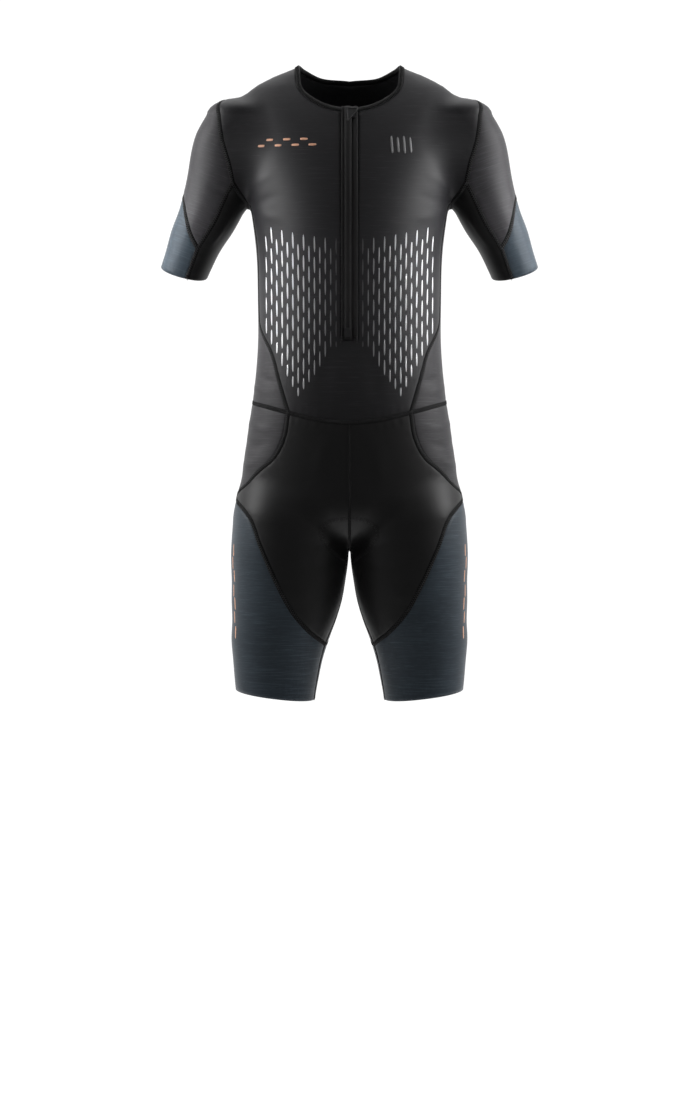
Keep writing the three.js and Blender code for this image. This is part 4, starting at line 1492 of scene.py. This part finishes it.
@dataclass
class Panels:
    """The cloth panels of the suit.

    Attributes:
        shop: What they are made with.
        sewn_on: The strips of tape sewn on the front panel. Not used.
        stretch: How much longer the worn cloth is than its flat cut. Not used.
        least: Least share of its width times its length that a cut fills. Not used.
    """

    shop: Workshop
    sewn_on: Sequence[Object]
    stretch: float = 1.06
    least: float = 0.31

    def build(self) -> None:
        """Makes every panel."""
        self._front()
        self._back()
        for cut in self._cuts():
            self._pair(cut)

    def _declare(self, piece: Object, grids: Sequence[Points], slot: str,
                 node: str) -> None:
        """Puts a panel on the suit and works out the width, length and area of its flat cut, which
        nothing uses.
        """
        self.shop.ride(piece, slot, node)
        wide = max(norm(np.diff(g, axis=1), axis=2).sum(axis=1).max() for g in grids)
        long = max(norm(np.diff(g, axis=0), axis=2).sum(axis=0).max() for g in grids)
        if node in ("front", "back"):
            wide *= 2
        area = sum(self._area(grid) for grid in grids)

    @staticmethod
    def _area(grid: Points) -> float:
        """Area of a grid, in square millimetres."""
        across = grid[1:, 1:] - grid[:-1, :-1]
        other = grid[1:, :-1] - grid[:-1, 1:]
        return float(norm(np.cross(across, other), axis=2).sum() / 2)

    def _front(self) -> None:
        """The front, open along the zip's slot and whole below it."""
        pattern, form = self.shop.pattern, self.shop.form
        lines, fine = pattern.lines, pattern.fine
        waist = lines["waist_front"]
        heights = np.linspace(lines["neck_front"][-1, 2], pattern.zip_bottom,
                              pattern.slot_facets * fine + 1)
        slot = form.met(pattern.zip_half, heights, FRONT)
        heights = np.linspace(pattern.zip_bottom, waist[0, 2], pattern.below_facets * fine + 1)
        below = form.met(pattern.zip_half, heights, FRONT)
        below[0], below[-1] = slot[-1], waist[0]
        inner = chain(lines["neck_front"], slot, below)
        outer = chain(lines["armhole_front"], lines["underarm_front"], lines["side_front"])
        half = self.shop.weave.panel(lines["shoulder"], waist, inner, outer)
        strip = np.stack([form.met(pattern.zip_half * step, below[:, 2], FRONT)
                          for step in np.linspace(-1, 1, 4 * max(fine // 2, 1) + 1)], axis=1)
        strip[:, 0], strip[:, -1] = mirrored(below), below
        self._whole("front", half, strip)

    def _back(self) -> None:
        """The back, in one piece."""
        lines = self.shop.pattern.lines
        inner = chain(lines["neck_back"], lines["centre_back"])
        outer = chain(lines["armhole_back"], lines["underarm_back"], lines["side_back"])
        self._whole("back", self.shop.weave.panel(
            lines["shoulder"], lines["waist_back"][::-1], inner, outer))

    def _whole(self, node: str, half: Points, *more: Points) -> None:
        """Makes a panel across both halves from its left half."""
        grids = [half, mirrored(half)[:, ::-1], *more]
        piece = self.shop.weave.shell(node + "_panel", grids, self.shop.finishes.torso,
                                      Knit.LEVEL)
        self._declare(piece, grids, "satin_black", node)

    def _cuts(self) -> list[PanelCut]:
        """The panels that come in pairs, as their left one."""
        pattern, finishes = self.shop.pattern, self.shop.finishes
        line = pattern.lines
        cuff_top = chain(line["cuff_top_front"], line["cuff_top_back"][::-1])
        armhole = chain(line["armhole_front"][::-1], line["armhole_back"])
        under = chain(line["underarm_front"], line["armpit"], line["underarm_back"][::-1])
        middle = pattern.between(line["seat_front"][0], line["waist_front"][0], 1)
        front_top = chain(middle, line["waist_front"])
        inner = line["inseam"][-1]
        side = line["hip_front"][-1]
        back_top = line["waist_back"][::-1]
        return [
            PanelCut("side", line["armpit"], line["waist_side"], line["side_front"],
                     line["side_back"], finishes.heather, "heather_grey"),
            PanelCut("sleeve_cap", armhole, cuff_top, line["cap_front"], line["cap_back"],
                     finishes.heather, "heather_grey", True),
            PanelCut("sleeve_inner", under, pattern.cuff_inner(),
                     chain(line["cap_front"], line["cuff_side_front"]),
                     chain(line["cap_back"], line["cuff_side_back"]),
                     finishes.smooth, "satin_black", True),
            PanelCut("sleeve_cuff", cuff_top, pattern.cuff_outer(), line["cuff_side_front"],
                     line["cuff_side_back"], finishes.slate, "slate_blue", True),
            PanelCut("shorts_front", front_top, np.tile(inner, (len(front_top), 1)),
                     chain(line["seat_front"], line["inseam"]),
                     chain(line["hip_front"], line["thigh_front"]),
                     finishes.smooth, "satin_black"),
            PanelCut("shorts_back", back_top, np.tile(inner, (len(back_top), 1)),
                     chain(line["seat_back"], line["inseam"]),
                     chain(line["hip_back"], line["thigh_back"]),
                     finishes.smooth, "satin_black"),
            PanelCut("hip", line["waist_side"], np.tile(side, (len(line["waist_side"]), 1)),
                     line["hip_front"], line["hip_back"], finishes.heather, "heather_grey"),
            PanelCut("thigh", chain(line["thigh_front"][::-1], line["thigh_back"]),
                     pattern.leg_round(), line["inseam_low"], line["inseam_low"],
                     finishes.slate, "slate_blue"),
        ]

    def _pair(self, cut: PanelCut) -> None:
        """Makes a panel and its mirror image."""
        grid = self.shop.weave.panel(cut.top, cut.bottom, cut.left, cut.right)
        for side, placed in (("left", grid), ("right", mirrored(grid)[:, ::-1])):
            knit = Knit.LEVEL
            if cut.sleeve:
                knit = Knit.LEFT_SLEEVE if side == "left" else Knit.RIGHT_SLEEVE
            piece = self.shop.weave.shell(f"{cut.name}_panel_{side}", [placed], cut.finish,
                                          knit)
            self._declare(piece, [placed], cut.slot, f"{cut.name}_{side}")


def tube_faces(first: int, length: int, sides: int) -> list[list[int]]:
    """Faces of a closed tube whose corners are stored side by side.

    Args:
        first: Number of its first corner.
        length: Corners along each side.
        sides: Number of sides.

    Returns:
        The faces, both ends included.
    """
    faces = []
    for s in range(sides):
        a, b = first + s * length, first + (s + 1) % sides * length
        faces += [[a + i, b + i, b + i + 1, a + i + 1] for i in range(length - 1)]
    faces.append([first + s * length for s in reversed(range(sides))])
    faces.append([first + (s + 1) * length - 1 for s in range(sides)])
    return faces


@dataclass(frozen=True)
class SeamKind:
    """A flat seam.

    Attributes:
        half: Half its band's width.
        proud: Height of the band's middle over the cloth.
        stitch: Its zigzag thread.
    """

    half: float
    proud: float
    stitch: Stitch


@dataclass
class Flatlock:
    """The flat seams: a soft band over each seam, inside and out, under zigzag thread.

    Attributes:
        shop: What they are made with.
        joining: The seams between panels.
        centre: The seam down the middle of the shorts.
        section: The band's section, in shares of its half width and its height.
        step: Length of one piece of a band.
    """

    shop: Workshop
    joining: SeamKind = SeamKind(3.35, 0.8, Stitch(0.92, 1.7, 5.36, 0.33, 58))
    centre: SeamKind = SeamKind(2.3, 0.4, Stitch(0.46, 1.9, 3.3, 0.27, 52))
    section: tuple[tuple[float, float], ...] = (
        (-1.0, -0.35), (-0.95, 0.7), (-0.6, 1.0), (0.6, 1.0), (0.95, 0.7), (1.0, -0.35))
    step: float = 2.0

    def runs(self) -> dict[str, list[Points]]:
        """The sewn runs of the left half, above the waist and from it down."""
        line = self.shop.pattern.lines
        caps = [chain(line["cap" + side], line["cuff_side" + side])
                for side in ("_front", "_back")]
        return {
            "upper": [
                line["shoulder"], chain(line["armhole_front"][::-1], line["armhole_back"]),
                chain(line["underarm_front"], line["armpit"], line["underarm_back"][::-1]),
                *caps, chain(line["cuff_top_front"], line["cuff_top_back"][::-1]),
                line["side_front"], line["side_back"]],
            "lower": [
                chain(line["waist_front"], line["waist_side"], line["waist_back"]),
                line["hip_front"], line["hip_back"],
                chain(line["thigh_front"][::-1], line["thigh_back"]),
                chain(line["inseam"], line["inseam_low"])],
        }

    def build(self) -> None:
        """Makes the bands and their threads."""
        for group, runs in self.runs().items():
            lines = []
            for run in runs:
                even = self._even(run)
                lines += [even, mirrored(even)]
            if group == "lower":
                lines.append(self._waist_middle())
            self._seam(f"flatlock_{group}", f"flatlock_threads_{group}", lines, self.joining)
        middle = [self._even(self.shop.pattern.lines[name])
                  for name in ("seat_front", "seat_back")]
        self._seam("centre_seam", "centre_seam_threads", middle, self.centre)

    def _seam(self, band: str, threads: str, lines: Sequence[Points], kind: SeamKind) -> None:
        """Makes the bands along lines and the threads on them."""
        self._bands(band, lines, kind)
        self.shop.sew(threads, lines, kind.stitch, self.shop.finishes.thread, "satin_black")

    def _even(self, line: Points) -> Points:
        """The line in even steps, on the form."""
        length = norm(np.diff(line, axis=0), axis=1).sum()
        return self.shop.form.settle(even_line(line, max(int(length / self.step), 6)), 3)

    def _waist_middle(self) -> Points:
        """The waist seam between the two halves at the front."""
        half = self.shop.pattern.zip_half
        height = self.shop.pattern.lines["waist_front"][0, 2]
        return self.shop.form.met(np.linspace(-half, half, 14), height, FRONT)

    def _bands(self, name: str, lines: Sequence[Points], kind: SeamKind) -> None:
        """Closed soft bands along lines, through the cloth and over both of its faces."""
        wall = self.shop.weave.wall
        offsets = [(kind.half * a, kind.proud * b) for a, b in self.section]
        offsets += [(kind.half * a, -wall - kind.proud * b) for a, b in reversed(self.section)]
        corners, faces = [], []
        total = 0
        for line in lines:
            across = unit(np.cross(self.shop.form.normal(line), np.gradient(line, axis=0)))
            lift = self.shop.relief.heights(line)
            for offset, height in offsets:
                moved = self.shop.form.settle(line + across * offset, 2)
                way = self.shop.form.normal(moved)
                corners.append(moved + way * (lift + height)[:, None])
            faces += tube_faces(total, len(line), len(offsets))
            total += len(line) * len(offsets)
        piece = made_object(name, np.vstack(corners), faces, self.shop.finishes.tape)
        self.shop.ride(piece, "satin_black")


@dataclass
class NeckBinding:
    """The ribbed tape folded over the neck's edge.

    Attributes:
        shop: What it is made with.
        rib_pitch: Distance from rib to rib.
        rib: Radius of a rib.
        rib_share: Share of the tape's width that a rib is long.
        sunk: How deep the ribs' middle lies under the fold's.
        fold: Height of the fold over the form.
        depth: How far it reaches inside.
    """

    shop: Workshop
    rib_pitch: float = 1.55
    rib: float = 0.55
    rib_share: float = 0.84
    sunk: float = 0.1
    fold: float = 0.9
    depth: float = 1.5

    def build(self) -> Object:
        """Makes the folded tape and its ribs.

        Returns:
            The tape.
        """
        lines = self.shop.pattern.lines
        low = chain(lines["neck_front"][::-1], lines["neck_back"])
        high = chain(lines["rim_front"][::-1], lines["rim_back"])
        low, high = even_line(low, 220), even_line(high, 220)
        low = np.vstack([low, mirrored(low)[::-1][1:]])
        high = np.vstack([high, mirrored(high)[::-1][1:]])
        section = ((0.0, -0.3), (0.03, 0.35), (0.2, 0.85), (0.5, 1.0), (0.8, 0.8),
                   (0.97, 0.3), (1.0, -0.4))
        corners = []
        for share, height in section:
            corners.append(self._row(low, high, share, self.fold * height))
        for share in (0.97, 0.5, 0.03):
            corners.append(self._row(low, high, share, -self.depth))
        faces = tube_faces(0, len(low), len(corners))
        piece = made_object("neck_binding_tape", np.vstack(corners), faces,
                            self.shop.finishes.binding)
        self.shop.ride(piece, "ribbed_tape", "neck_binding")
        middle = self.shop.form.settle((low + high) / 2, 3)
        span = float(norm(high - low, axis=1).mean())
        ribs = Stitch(self.fold - self.sunk, self.rib_pitch, span * self.rib_share, self.rib,
                      90, 8, 0.02)
        self.shop.sew("neck_binding_ribs", [middle], ribs, self.shop.finishes.binding,
                      "ribbed_tape")
        return piece

    def _row(self, low: Points, high: Points, share: float, height: float) -> Points:
        """One line along the tape."""
        line = self.shop.form.settle(low * (1 - share) + high * share, 3)
        return line + self.shop.form.normal(line) * height


class Place(NamedTuple):
    """A point of a zip tape's profile: place across and height over the form."""

    x: float
    height: float


@dataclass
class Zip:
    """The zip: two tapes, one with its covered coil, its teeth and what is sewn on it.

    Attributes:
        shop: What it is made with.
        step: Length of one piece of tape.
        coil: Profile of the tape with the coil.
        plain: Profile of the other tape.
    """

    shop: Workshop
    step: float = 2.5
    coil: tuple[Place, ...] = (
        Place(-12.4, 0.3), Place(-11.8, 1.0), Place(-10.6, 1.45), Place(-9.4, 1.0),
        Place(-8.4, 0.25), Place(-7.8, 0.35), Place(-6.9, 1.35), Place(-5.4, 1.75),
        Place(-2.4, 2.0), Place(0.6, 1.8), Place(2.4, 1.4), Place(3.3, 0.7), Place(3.75, -0.2))
    plain: tuple[Place, ...] = (
        Place(4.25, -0.2), Place(4.7, 0.45), Place(5.8, 0.6), Place(6.6, 0.85),
        Place(7.4, 1.35), Place(9.0, 1.5), Place(10.6, 1.35), Place(11.8, 0.9),
        Place(12.4, 0.3))

    def build(self) -> list[Object]:
        """Makes the tapes and all that is sewn on them.

        Returns:
            The two tapes.
        """
        tapes = [self._tape("zip_coil_tape", self.coil, "zip_tape_right"),
                 self._tape("zip_plain_tape", self.plain, "zip_tape_left")]
        top, bottom = self.shop.pattern.zip_top, self.shop.pattern.zip_bottom
        for name, places, start, end, stitch in (
                ("zip_teeth", (-2.3,), top - 3, bottom + 16,
                 Stitch(1.62, 1.5, 8.2, 0.42, 90, 8, 0.0)),
                ("zip_topstitch", (-12.0, 11.6), top - 1, bottom + 2,
                 Stitch(1.02, 3.1, 2.3, 0.22, 0, 5, 0.04)),
                ("zip_bar_tacks", (-11.2, 9.6), bottom + 5, bottom - 5,
                 Stitch(1.5, 0.55, 4.6, 0.26, 84, 5, 0.05))):
            self.shop.sew(name, [self._line(x, start, end) for x in places], stitch,
                          self.shop.finishes.zip_cloth, "zip_tape")
        return tapes

    def _line(self, x: float, top: float, bottom: float) -> Points:
        """A line down the front."""
        count = max(int((top - bottom) / self.step), 2)
        return self.shop.form.met(x, np.linspace(top, bottom, count + 1), FRONT)

    def _tape(self, name: str, profile: Sequence[Place], node: str) -> Object:
        """One tape as a closed strip."""
        pattern, form = self.shop.pattern, self.shop.form
        outer, inner = [], []
        for place in profile:
            line = self._line(place.x, pattern.zip_top, pattern.zip_bottom)
            normal = form.normal(line)
            outer.append(line + normal * place.height)
            inner.append(line - normal * self.shop.weave.wall)
        rows = outer + inner[::-1]
        piece = made_object(name, np.vstack(rows), tube_faces(0, len(rows[0]), len(rows)),
                            self.shop.finishes.zip_cloth)
        return self.shop.ride(piece, "zip_tape", node)


@dataclass
class PullTab:
    """The moulded pull: a three-cornered plate with a raised rim and an eye.

    Attributes:
        shop: What it is made with.
        at: Where the slider sits on the zip.
        bar_along: Place of the slider's bar down the zip, from the slider's middle.
        bar_height: Height of the bar.
        low: Height of the plate's underside.
        thick: Thickness of its rim.
        dish: How much thinner its middle is.
        rim: Width of the rim.
        corner: Radius of its corners.
        eye: Outer radius, bore and width of the eye round the slider's bar.
        eye_sides: Sides of the eye.
        outline: Corners of the plate, across and down from the bar.
    """

    shop: Workshop
    at: tuple[float, float] = (4.0, -82.0)
    bar_along: float = -9.8
    bar_height: float = 3.8
    low: float = 4.8
    thick: float = 1.5
    dish: float = 0.55
    rim: float = 1.3
    corner: float = 1.1
    eye: Triple = (1.9, 1.05, 4.4)
    eye_sides: int = 24
    outline: tuple[tuple[float, float], ...] = (
        (7.8, 0.0), (-9.2, 0.0), (-7.0, 6.4), (6.2, 23.0), (7.4, 22.4))

    def frame(self) -> tuple[Points, Points]:
        """Origin and axes of the zip's frame: to the right, down and outward."""
        origin = self.shop.form.met(self.at[0], np.array([self.at[1]]), FRONT)
        away = self.shop.form.slope(origin)[0]
        away[0] = 0
        away = unit(away)
        across = np.array([-1.0, 0, 0])
        return origin[0], np.stack([across, np.cross(away, across), away])

    def build(self) -> None:
        """Makes the tab and puts it on its own body."""
        rounded = self._rounded()
        profile = ((0.25, 0.0), (0.0, 0.25), (0.0, self.thick - 0.3), (0.3, self.thick),
                   (self.rim, self.thick), (self.rim + 0.3, self.thick - self.dish))
        rings = [np.insert(self._inset(rounded, inset), 2, height + self.low, axis=1)
                 for inset, height in profile]
        plate = np.stack(rings, axis=1).reshape(-1, 3)
        plate[:, 1] += self.bar_along
        faces = tube_faces(0, len(profile), len(rounded))
        eye, eye_faces = self._eye(len(plate))
        local = np.vstack([plate, eye])
        origin, axes = self.frame()
        piece = made_object("pull_tab_moulding", origin + local @ axes, faces + eye_faces,
                            self.shop.finishes.moulded, smooth=False)
        self._face_outward(piece)
        self.shop.ride(piece, "moulded_black", "pull_tab", body="pull_tab")

    @staticmethod
    def _face_outward(piece: Object) -> None:
        """Turns every face outward."""
        work = bmesh.new()
        work.from_mesh(piece.data)
        bmesh.ops.recalc_face_normals(work, faces=work.faces)
        work.to_mesh(piece.data)
        work.free()

    def _rounded(self) -> Points:
        """The outline with rounded corners."""
        outline = np.array(self.outline)
        rounded = []
        for i, corner in enumerate(outline):
            before = outline[i - 1] - corner
            after = outline[(i + 1) % len(outline)] - corner
            reach = min(self.corner, norm(before) * 0.4, norm(after) * 0.4)
            start, end = corner + unit(before) * reach, corner + unit(after) * reach
            for t in np.linspace(0, 1, 5):
                rounded.append(start * (1 - t) ** 2 + corner * 2 * t * (1 - t) + end * t * t)
        return np.array(rounded)

    @staticmethod
    def _inset(ring: Points, amount: float) -> Points:
        """The ring drawn in towards its middle by an amount."""
        way = unit(unit(ring - np.roll(ring, 1, axis=0)) + unit(np.roll(ring, -1, axis=0) - ring))
        inward = np.stack([-way[:, 1], way[:, 0]], axis=1)
        towards = ((ring.mean(axis=0) - ring) * inward).sum()
        return ring + inward * amount * (1 if towards > 0 else -1)

    def _eye(self, first: int) -> tuple[Points, list[list[int]]]:
        """The eye round the slider's bar.

        Args:
            first: Number of its first corner.

        Returns:
            Its corners and faces.
        """
        outer, bore, width = self.eye
        count = self.eye_sides
        angle = np.linspace(0, 2 * np.pi, count, endpoint=False)
        circle = np.stack([np.cos(angle), np.sin(angle)], axis=1)
        middle = [self.bar_along, self.bar_height]
        corners = [np.insert(middle + radius * circle, 0, x, axis=1)
                   for radius, x in ((outer, -width / 2), (outer, width / 2),
                                     (bore, width / 2), (bore, -width / 2))]
        faces = []
        for ring in range(4):
            a, b = first + ring * count, first + (ring + 1) % 4 * count
            faces += [[a + i, a + (i + 1) % count, b + (i + 1) % count, b + i]
                      for i in range(count)]
        return np.vstack(corners), faces


@dataclass
class SeatPad:
    """The stitched ring that holds the seat pad, front and back.

    Attributes:
        shop: What it is made with.
        stitch: Its thread.
        ring: Its left half, from the front to the back.
    """

    shop: Workshop
    stitch: Stitch = Stitch(0.15, 3.0, 7.0, 0.38, 74, stray=0.08)
    ring: tuple[Spot, ...] = (
        Spot(0, FRONT, -693), Spot(24, FRONT, -696), Spot(39, FRONT, -706),
        Spot(43, FRONT, -719), Spot(38, FRONT, -732), Spot(26, FRONT, -743),
        Spot(17, -52, -752), Spot(12, 6, -764), Spot(20, 62, -756), Spot(36, BACK, -742),
        Spot(50, BACK, -716), Spot(42, BACK, -690), Spot(22, BACK, -677), Spot(0, BACK, -673))

    def build(self) -> None:
        """Sews the ring."""
        form = self.shop.form
        half = form.settle(smooth_line(form.places(self.ring), 130), 3)
        self.shop.sew("pad_stitching", [half, mirrored(half)], self.stitch,
                      self.shop.finishes.thread, "satin_black")


class Film(NamedTuple):
    """One printed mark: its middle, width and length."""

    x: float
    z: float
    width: float
    length: float


@dataclass
class Prints:
    """The printed places, in a plain design of the suit's own.

    Attributes:
        shop: What they are made with.
        pitch: Distance between columns of dashes.
        dash: Length of a dash.
        gap: Distance between dashes.
        least: Length of the shortest dash.
        first: Place of the first column of dashes.
        last: Place that the last column doesn't pass.
        edge_x: Places of the corners of the dashes' lower edge.
        edge_z: Heights of those corners.
        film: Thickness of the film.
        sharp: Taper of the dashes.
        blunt: Taper of the bars.
        thigh_bars: Number of bars on each thigh.
    """

    shop: Workshop
    pitch: float = 8.2
    dash: float = 25.0
    gap: float = 6.0
    least: float = 8.0
    first: float = 20.0
    last: float = 133.0
    edge_x: Triple = (12, 78, 139)
    edge_z: Triple = (-424, -509, -391)
    film: float = 0.5
    sharp: float = 0.9
    blunt: float = 0.3
    thigh_bars: int = 7

    def build(self) -> None:
        """Makes every printed place."""
        looks = self.shop.finishes
        dashes = self._midriff()
        dashes += [film._replace(x=-film.x) for film in dashes]
        copper = [Film(-134 + 13 * i, -128 + 9 * (i % 2), 11.5, 3.6) for i in range(7)]
        grey = [Film(64 + 9.5 * i, -128, 3.4, 28 - 4 * (i % 2)) for i in range(4)]
        for name, films, finish, taper in (
                ("midriff_dashes", dashes, looks.silver, self.sharp),
                ("chest_bars_copper", copper, looks.copper, self.blunt),
                ("chest_bars_grey", grey, looks.pewter, self.blunt)):
            rows = np.array(films, float)
            spots = self.shop.form.met(rows[:, 0], rows[:, 1], FRONT)
            self._lay(name, spots, rows[:, 2:], finish, taper)
        self._thighs()

    def _midriff(self) -> list[Film]:
        """Dashes in straight upright columns, staggered like bricks."""
        films = []
        for column in range(int((self.last - self.first) / self.pitch) + 1):
            x = self.first + column * self.pitch
            z = -271 + 27 * (x / 139) ** 2 - (column % 2) * (self.dash + self.gap) / 2
            bottom = float(np.interp(x, self.edge_x, self.edge_z))
            width = 1.9 + 1.5 * (x - self.first) / (self.last - self.first)
            while z - self.dash > bottom:
                films.append(Film(x, z - self.dash / 2, width, self.dash))
                z -= self.dash + self.gap
            rest = z - bottom
            if rest > self.least:
                films.append(Film(x, z - rest / 2, width, rest))
        return films

    def _thighs(self) -> None:
        """Upright bars on the outer thighs."""
        spots = np.array([[200.0, -42.0 + 7.0 * (i % 2), -742.0 - 21.0 * i]
                          for i in range(self.thigh_bars)])
        spots = self.shop.form.settle(spots, 8)
        spots = np.vstack([spots, mirrored(spots)])
        sizes = np.tile([4.2, 19.0], (len(spots), 1))
        self._lay("thigh_bars", spots, sizes, self.shop.finishes.copper, self.blunt)

    def _lay(self, name: str, spots: Points, sizes: Points, finish: Material,
             taper: float) -> None:
        """Lays films on places of the form.

        Args:
            name: Name of the piece.
            spots: Middle of each mark, on the form.
            sizes: Width and length of each mark.
            finish: Their material.
            taper: How sharply they end.
        """
        places, ways = self.shop.raised(spots, 0.0)
        size = np.column_stack([sizes[:, 0], np.full(len(spots), self.film), sizes[:, 1]])
        helper = helper_of(name + "_places", places, (), out=ways,
                           down=np.tile([0.0, 0.0, -1.0], (len(spots), 1)), size=size * MM)
        piece = self.shop.films.run(helper, name, {
            "Segments": 10, "Rings": 10, "Taper": taper, "Finish": finish})
        self.shop.ride(piece, "satin_black")


class Lamp(NamedTuple):
    """A soft rectangular light: its place and size in metres, its turn and spread in degrees."""

    name: str
    place: Triple
    turn: Triple
    size: tuple[float, float]
    power: float
    spread: float = 180


@dataclass
class Studio:
    """Camera, pale floor and soft light.

    Attributes:
        distance: From the camera to the suit's middle plane, in metres.
        aside: Place of the camera across.
        eye: Height of the camera.
        picture: Height of the picture in the suit's middle plane.
        middle: Height that the picture's middle shows there.
        sensor: Longer side of the camera's sensor, in millimetres.
        floor: Height of the floor.
        floor_half: Half the floor's width.
        floor_start: Place where the floor starts, before the suit.
        floor_end: Place where it ends, behind the suit.
        lamps: The lights.
    """

    distance: float = 5.0
    aside: float = 0.0008
    eye: float = -0.574
    picture: float = 1.7248
    middle: float = -0.7592
    sensor: float = 36
    floor: float = -1.6
    floor_half: float = 1.3
    floor_start: float = -0.4
    floor_end: float = 4.5
    lamps: tuple[Lamp, ...] = (
        Lamp("key", (0.0, -3.4, 1.3), (64, 0, 0), (2.4, 1.6), 2.2),
        Lamp("left", (-1.95, -0.1, 0.5), (71, 0, -88), (1.0, 1.3), 10.5, 70),
        Lamp("right", (1.95, -0.1, 0.5), (71, 0, 88), (1.0, 1.3), 11.5, 70),
        Lamp("arm_left", (-1.15, -0.6, -0.1), (80, 0, -56), (0.3, 0.2), 0.45, 18),
        Lamp("arm_right", (1.15, -0.6, -0.1), (80, 0, 56), (0.3, 0.2), 0.45, 18),
        Lamp("top", (0.0, 0.6, 1.9), (-12, 0, 0), (2.6, 1.4), 25))

    def build(self) -> None:
        """Sets up everything that isn't the suit."""
        self._camera()
        self._ground()
        self._surroundings()
        for lamp in self.lamps:
            self._light(lamp)

    def _camera(self) -> None:
        """A level camera with the picture shifted down to the suit."""
        data = bpy.data.cameras.new("camera")
        data.sensor_width = self.sensor
        data.lens = self.sensor * self.distance / self.picture
        data.shift_y = (self.middle - self.eye) / self.picture
        data.clip_end = 60
        camera = linked("camera", data)
        camera.location = (self.aside, -self.distance, self.eye)
        camera.rotation_euler = (math.pi / 2, 0, 0)
        bpy.context.scene.camera = camera

    def _ground(self) -> None:
        """A plain pale floor."""
        near, far, half = self.floor_start, self.floor_end, self.floor_half
        corners = [(-half, near, self.floor), (-half, far, self.floor),
                   (half, near, self.floor), (half, far, self.floor)]
        board = Board("pale_floor")
        finish = board.dressed(Base_Color=(0.9, 0.9, 0.9, 1), Roughness=0.95,
                               Emission_Color=(1, 1, 1, 1), Emission_Strength=0.75)
        made_object("floor", np.array(corners) / MM, [[2, 3, 1, 0]], finish)

    @staticmethod
    def _surroundings() -> None:
        """Light all round that is white behind the suit and dim before it."""
        world = bpy.data.worlds.new("studio")
        world.use_nodes = True
        board = Nodes(world.node_tree)
        way = board.add("ShaderNodeTexCoord", out="Generated")
        back = board.add("ShaderNodeSeparateXYZ", {"Vector": way}, "Y")
        fade = board.add("ShaderNodeMapRange", {
            "Value": back, "From Min": -0.3, "From Max": 0.8, "To Min": 0.2, "To Max": 1.08},
            "Result", interpolation_type="SMOOTHSTEP")
        board.fill(world.node_tree.nodes["Background"], {
            "Color": (1, 1, 1, 1), "Strength": fade})
        bpy.context.scene.world = world

    @staticmethod
    def _light(lamp: Lamp) -> None:
        """Hangs one light."""
        data = bpy.data.lights.new(lamp.name, "AREA")
        data.shape = "RECTANGLE"
        data.size, data.size_y = lamp.size
        data.energy = lamp.power
        data.spread = math.radians(lamp.spread)
        light = linked(lamp.name, data)
        light.location = lamp.place
        light.rotation_euler = [math.radians(a) for a in lamp.turn]


def dress_hard_pieces(frame: dict, finishes: Wardrobe) -> None:
    """Gives the slider and the bottom box their finish."""
    for name in ("zip_slider", "zip_stop"):
        node = frame["nodes"][name]
        node.data.materials.clear()
        node.data.materials.append(finishes.hard)
        LOG.info("%s: finished", name)


def main() -> None:
    """Builds the dressed suit."""
    logging.basicConfig(level=logging.INFO, format="%(name)s %(message)s", force=True)
    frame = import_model()
    Studio().build()
    bpy.context.scene.view_settings.view_transform = "Standard"
    form = WornForm()
    fine = 6
    pattern = Pattern(form, fine)
    pattern.draw()
    LOG.info("seams drawn: %d", len(pattern.lines))
    relief = Relief(form, pattern)
    finishes = Wardrobe()
    shop = Workshop(form, pattern, relief, Weave(form, relief, fine), finishes,
                    stitch_tree(), film_tree())
    sewn_on = [NeckBinding(shop).build(), *Zip(shop).build()]
    Panels(shop, sewn_on).build()
    Flatlock(shop).build()
    PullTab(shop).build()
    SeatPad(shop).build()
    Prints(shop).build()
    dress_hard_pieces(frame, finishes)
    bpy.context.view_layer.update()


if __name__ == "__main__":
    main()
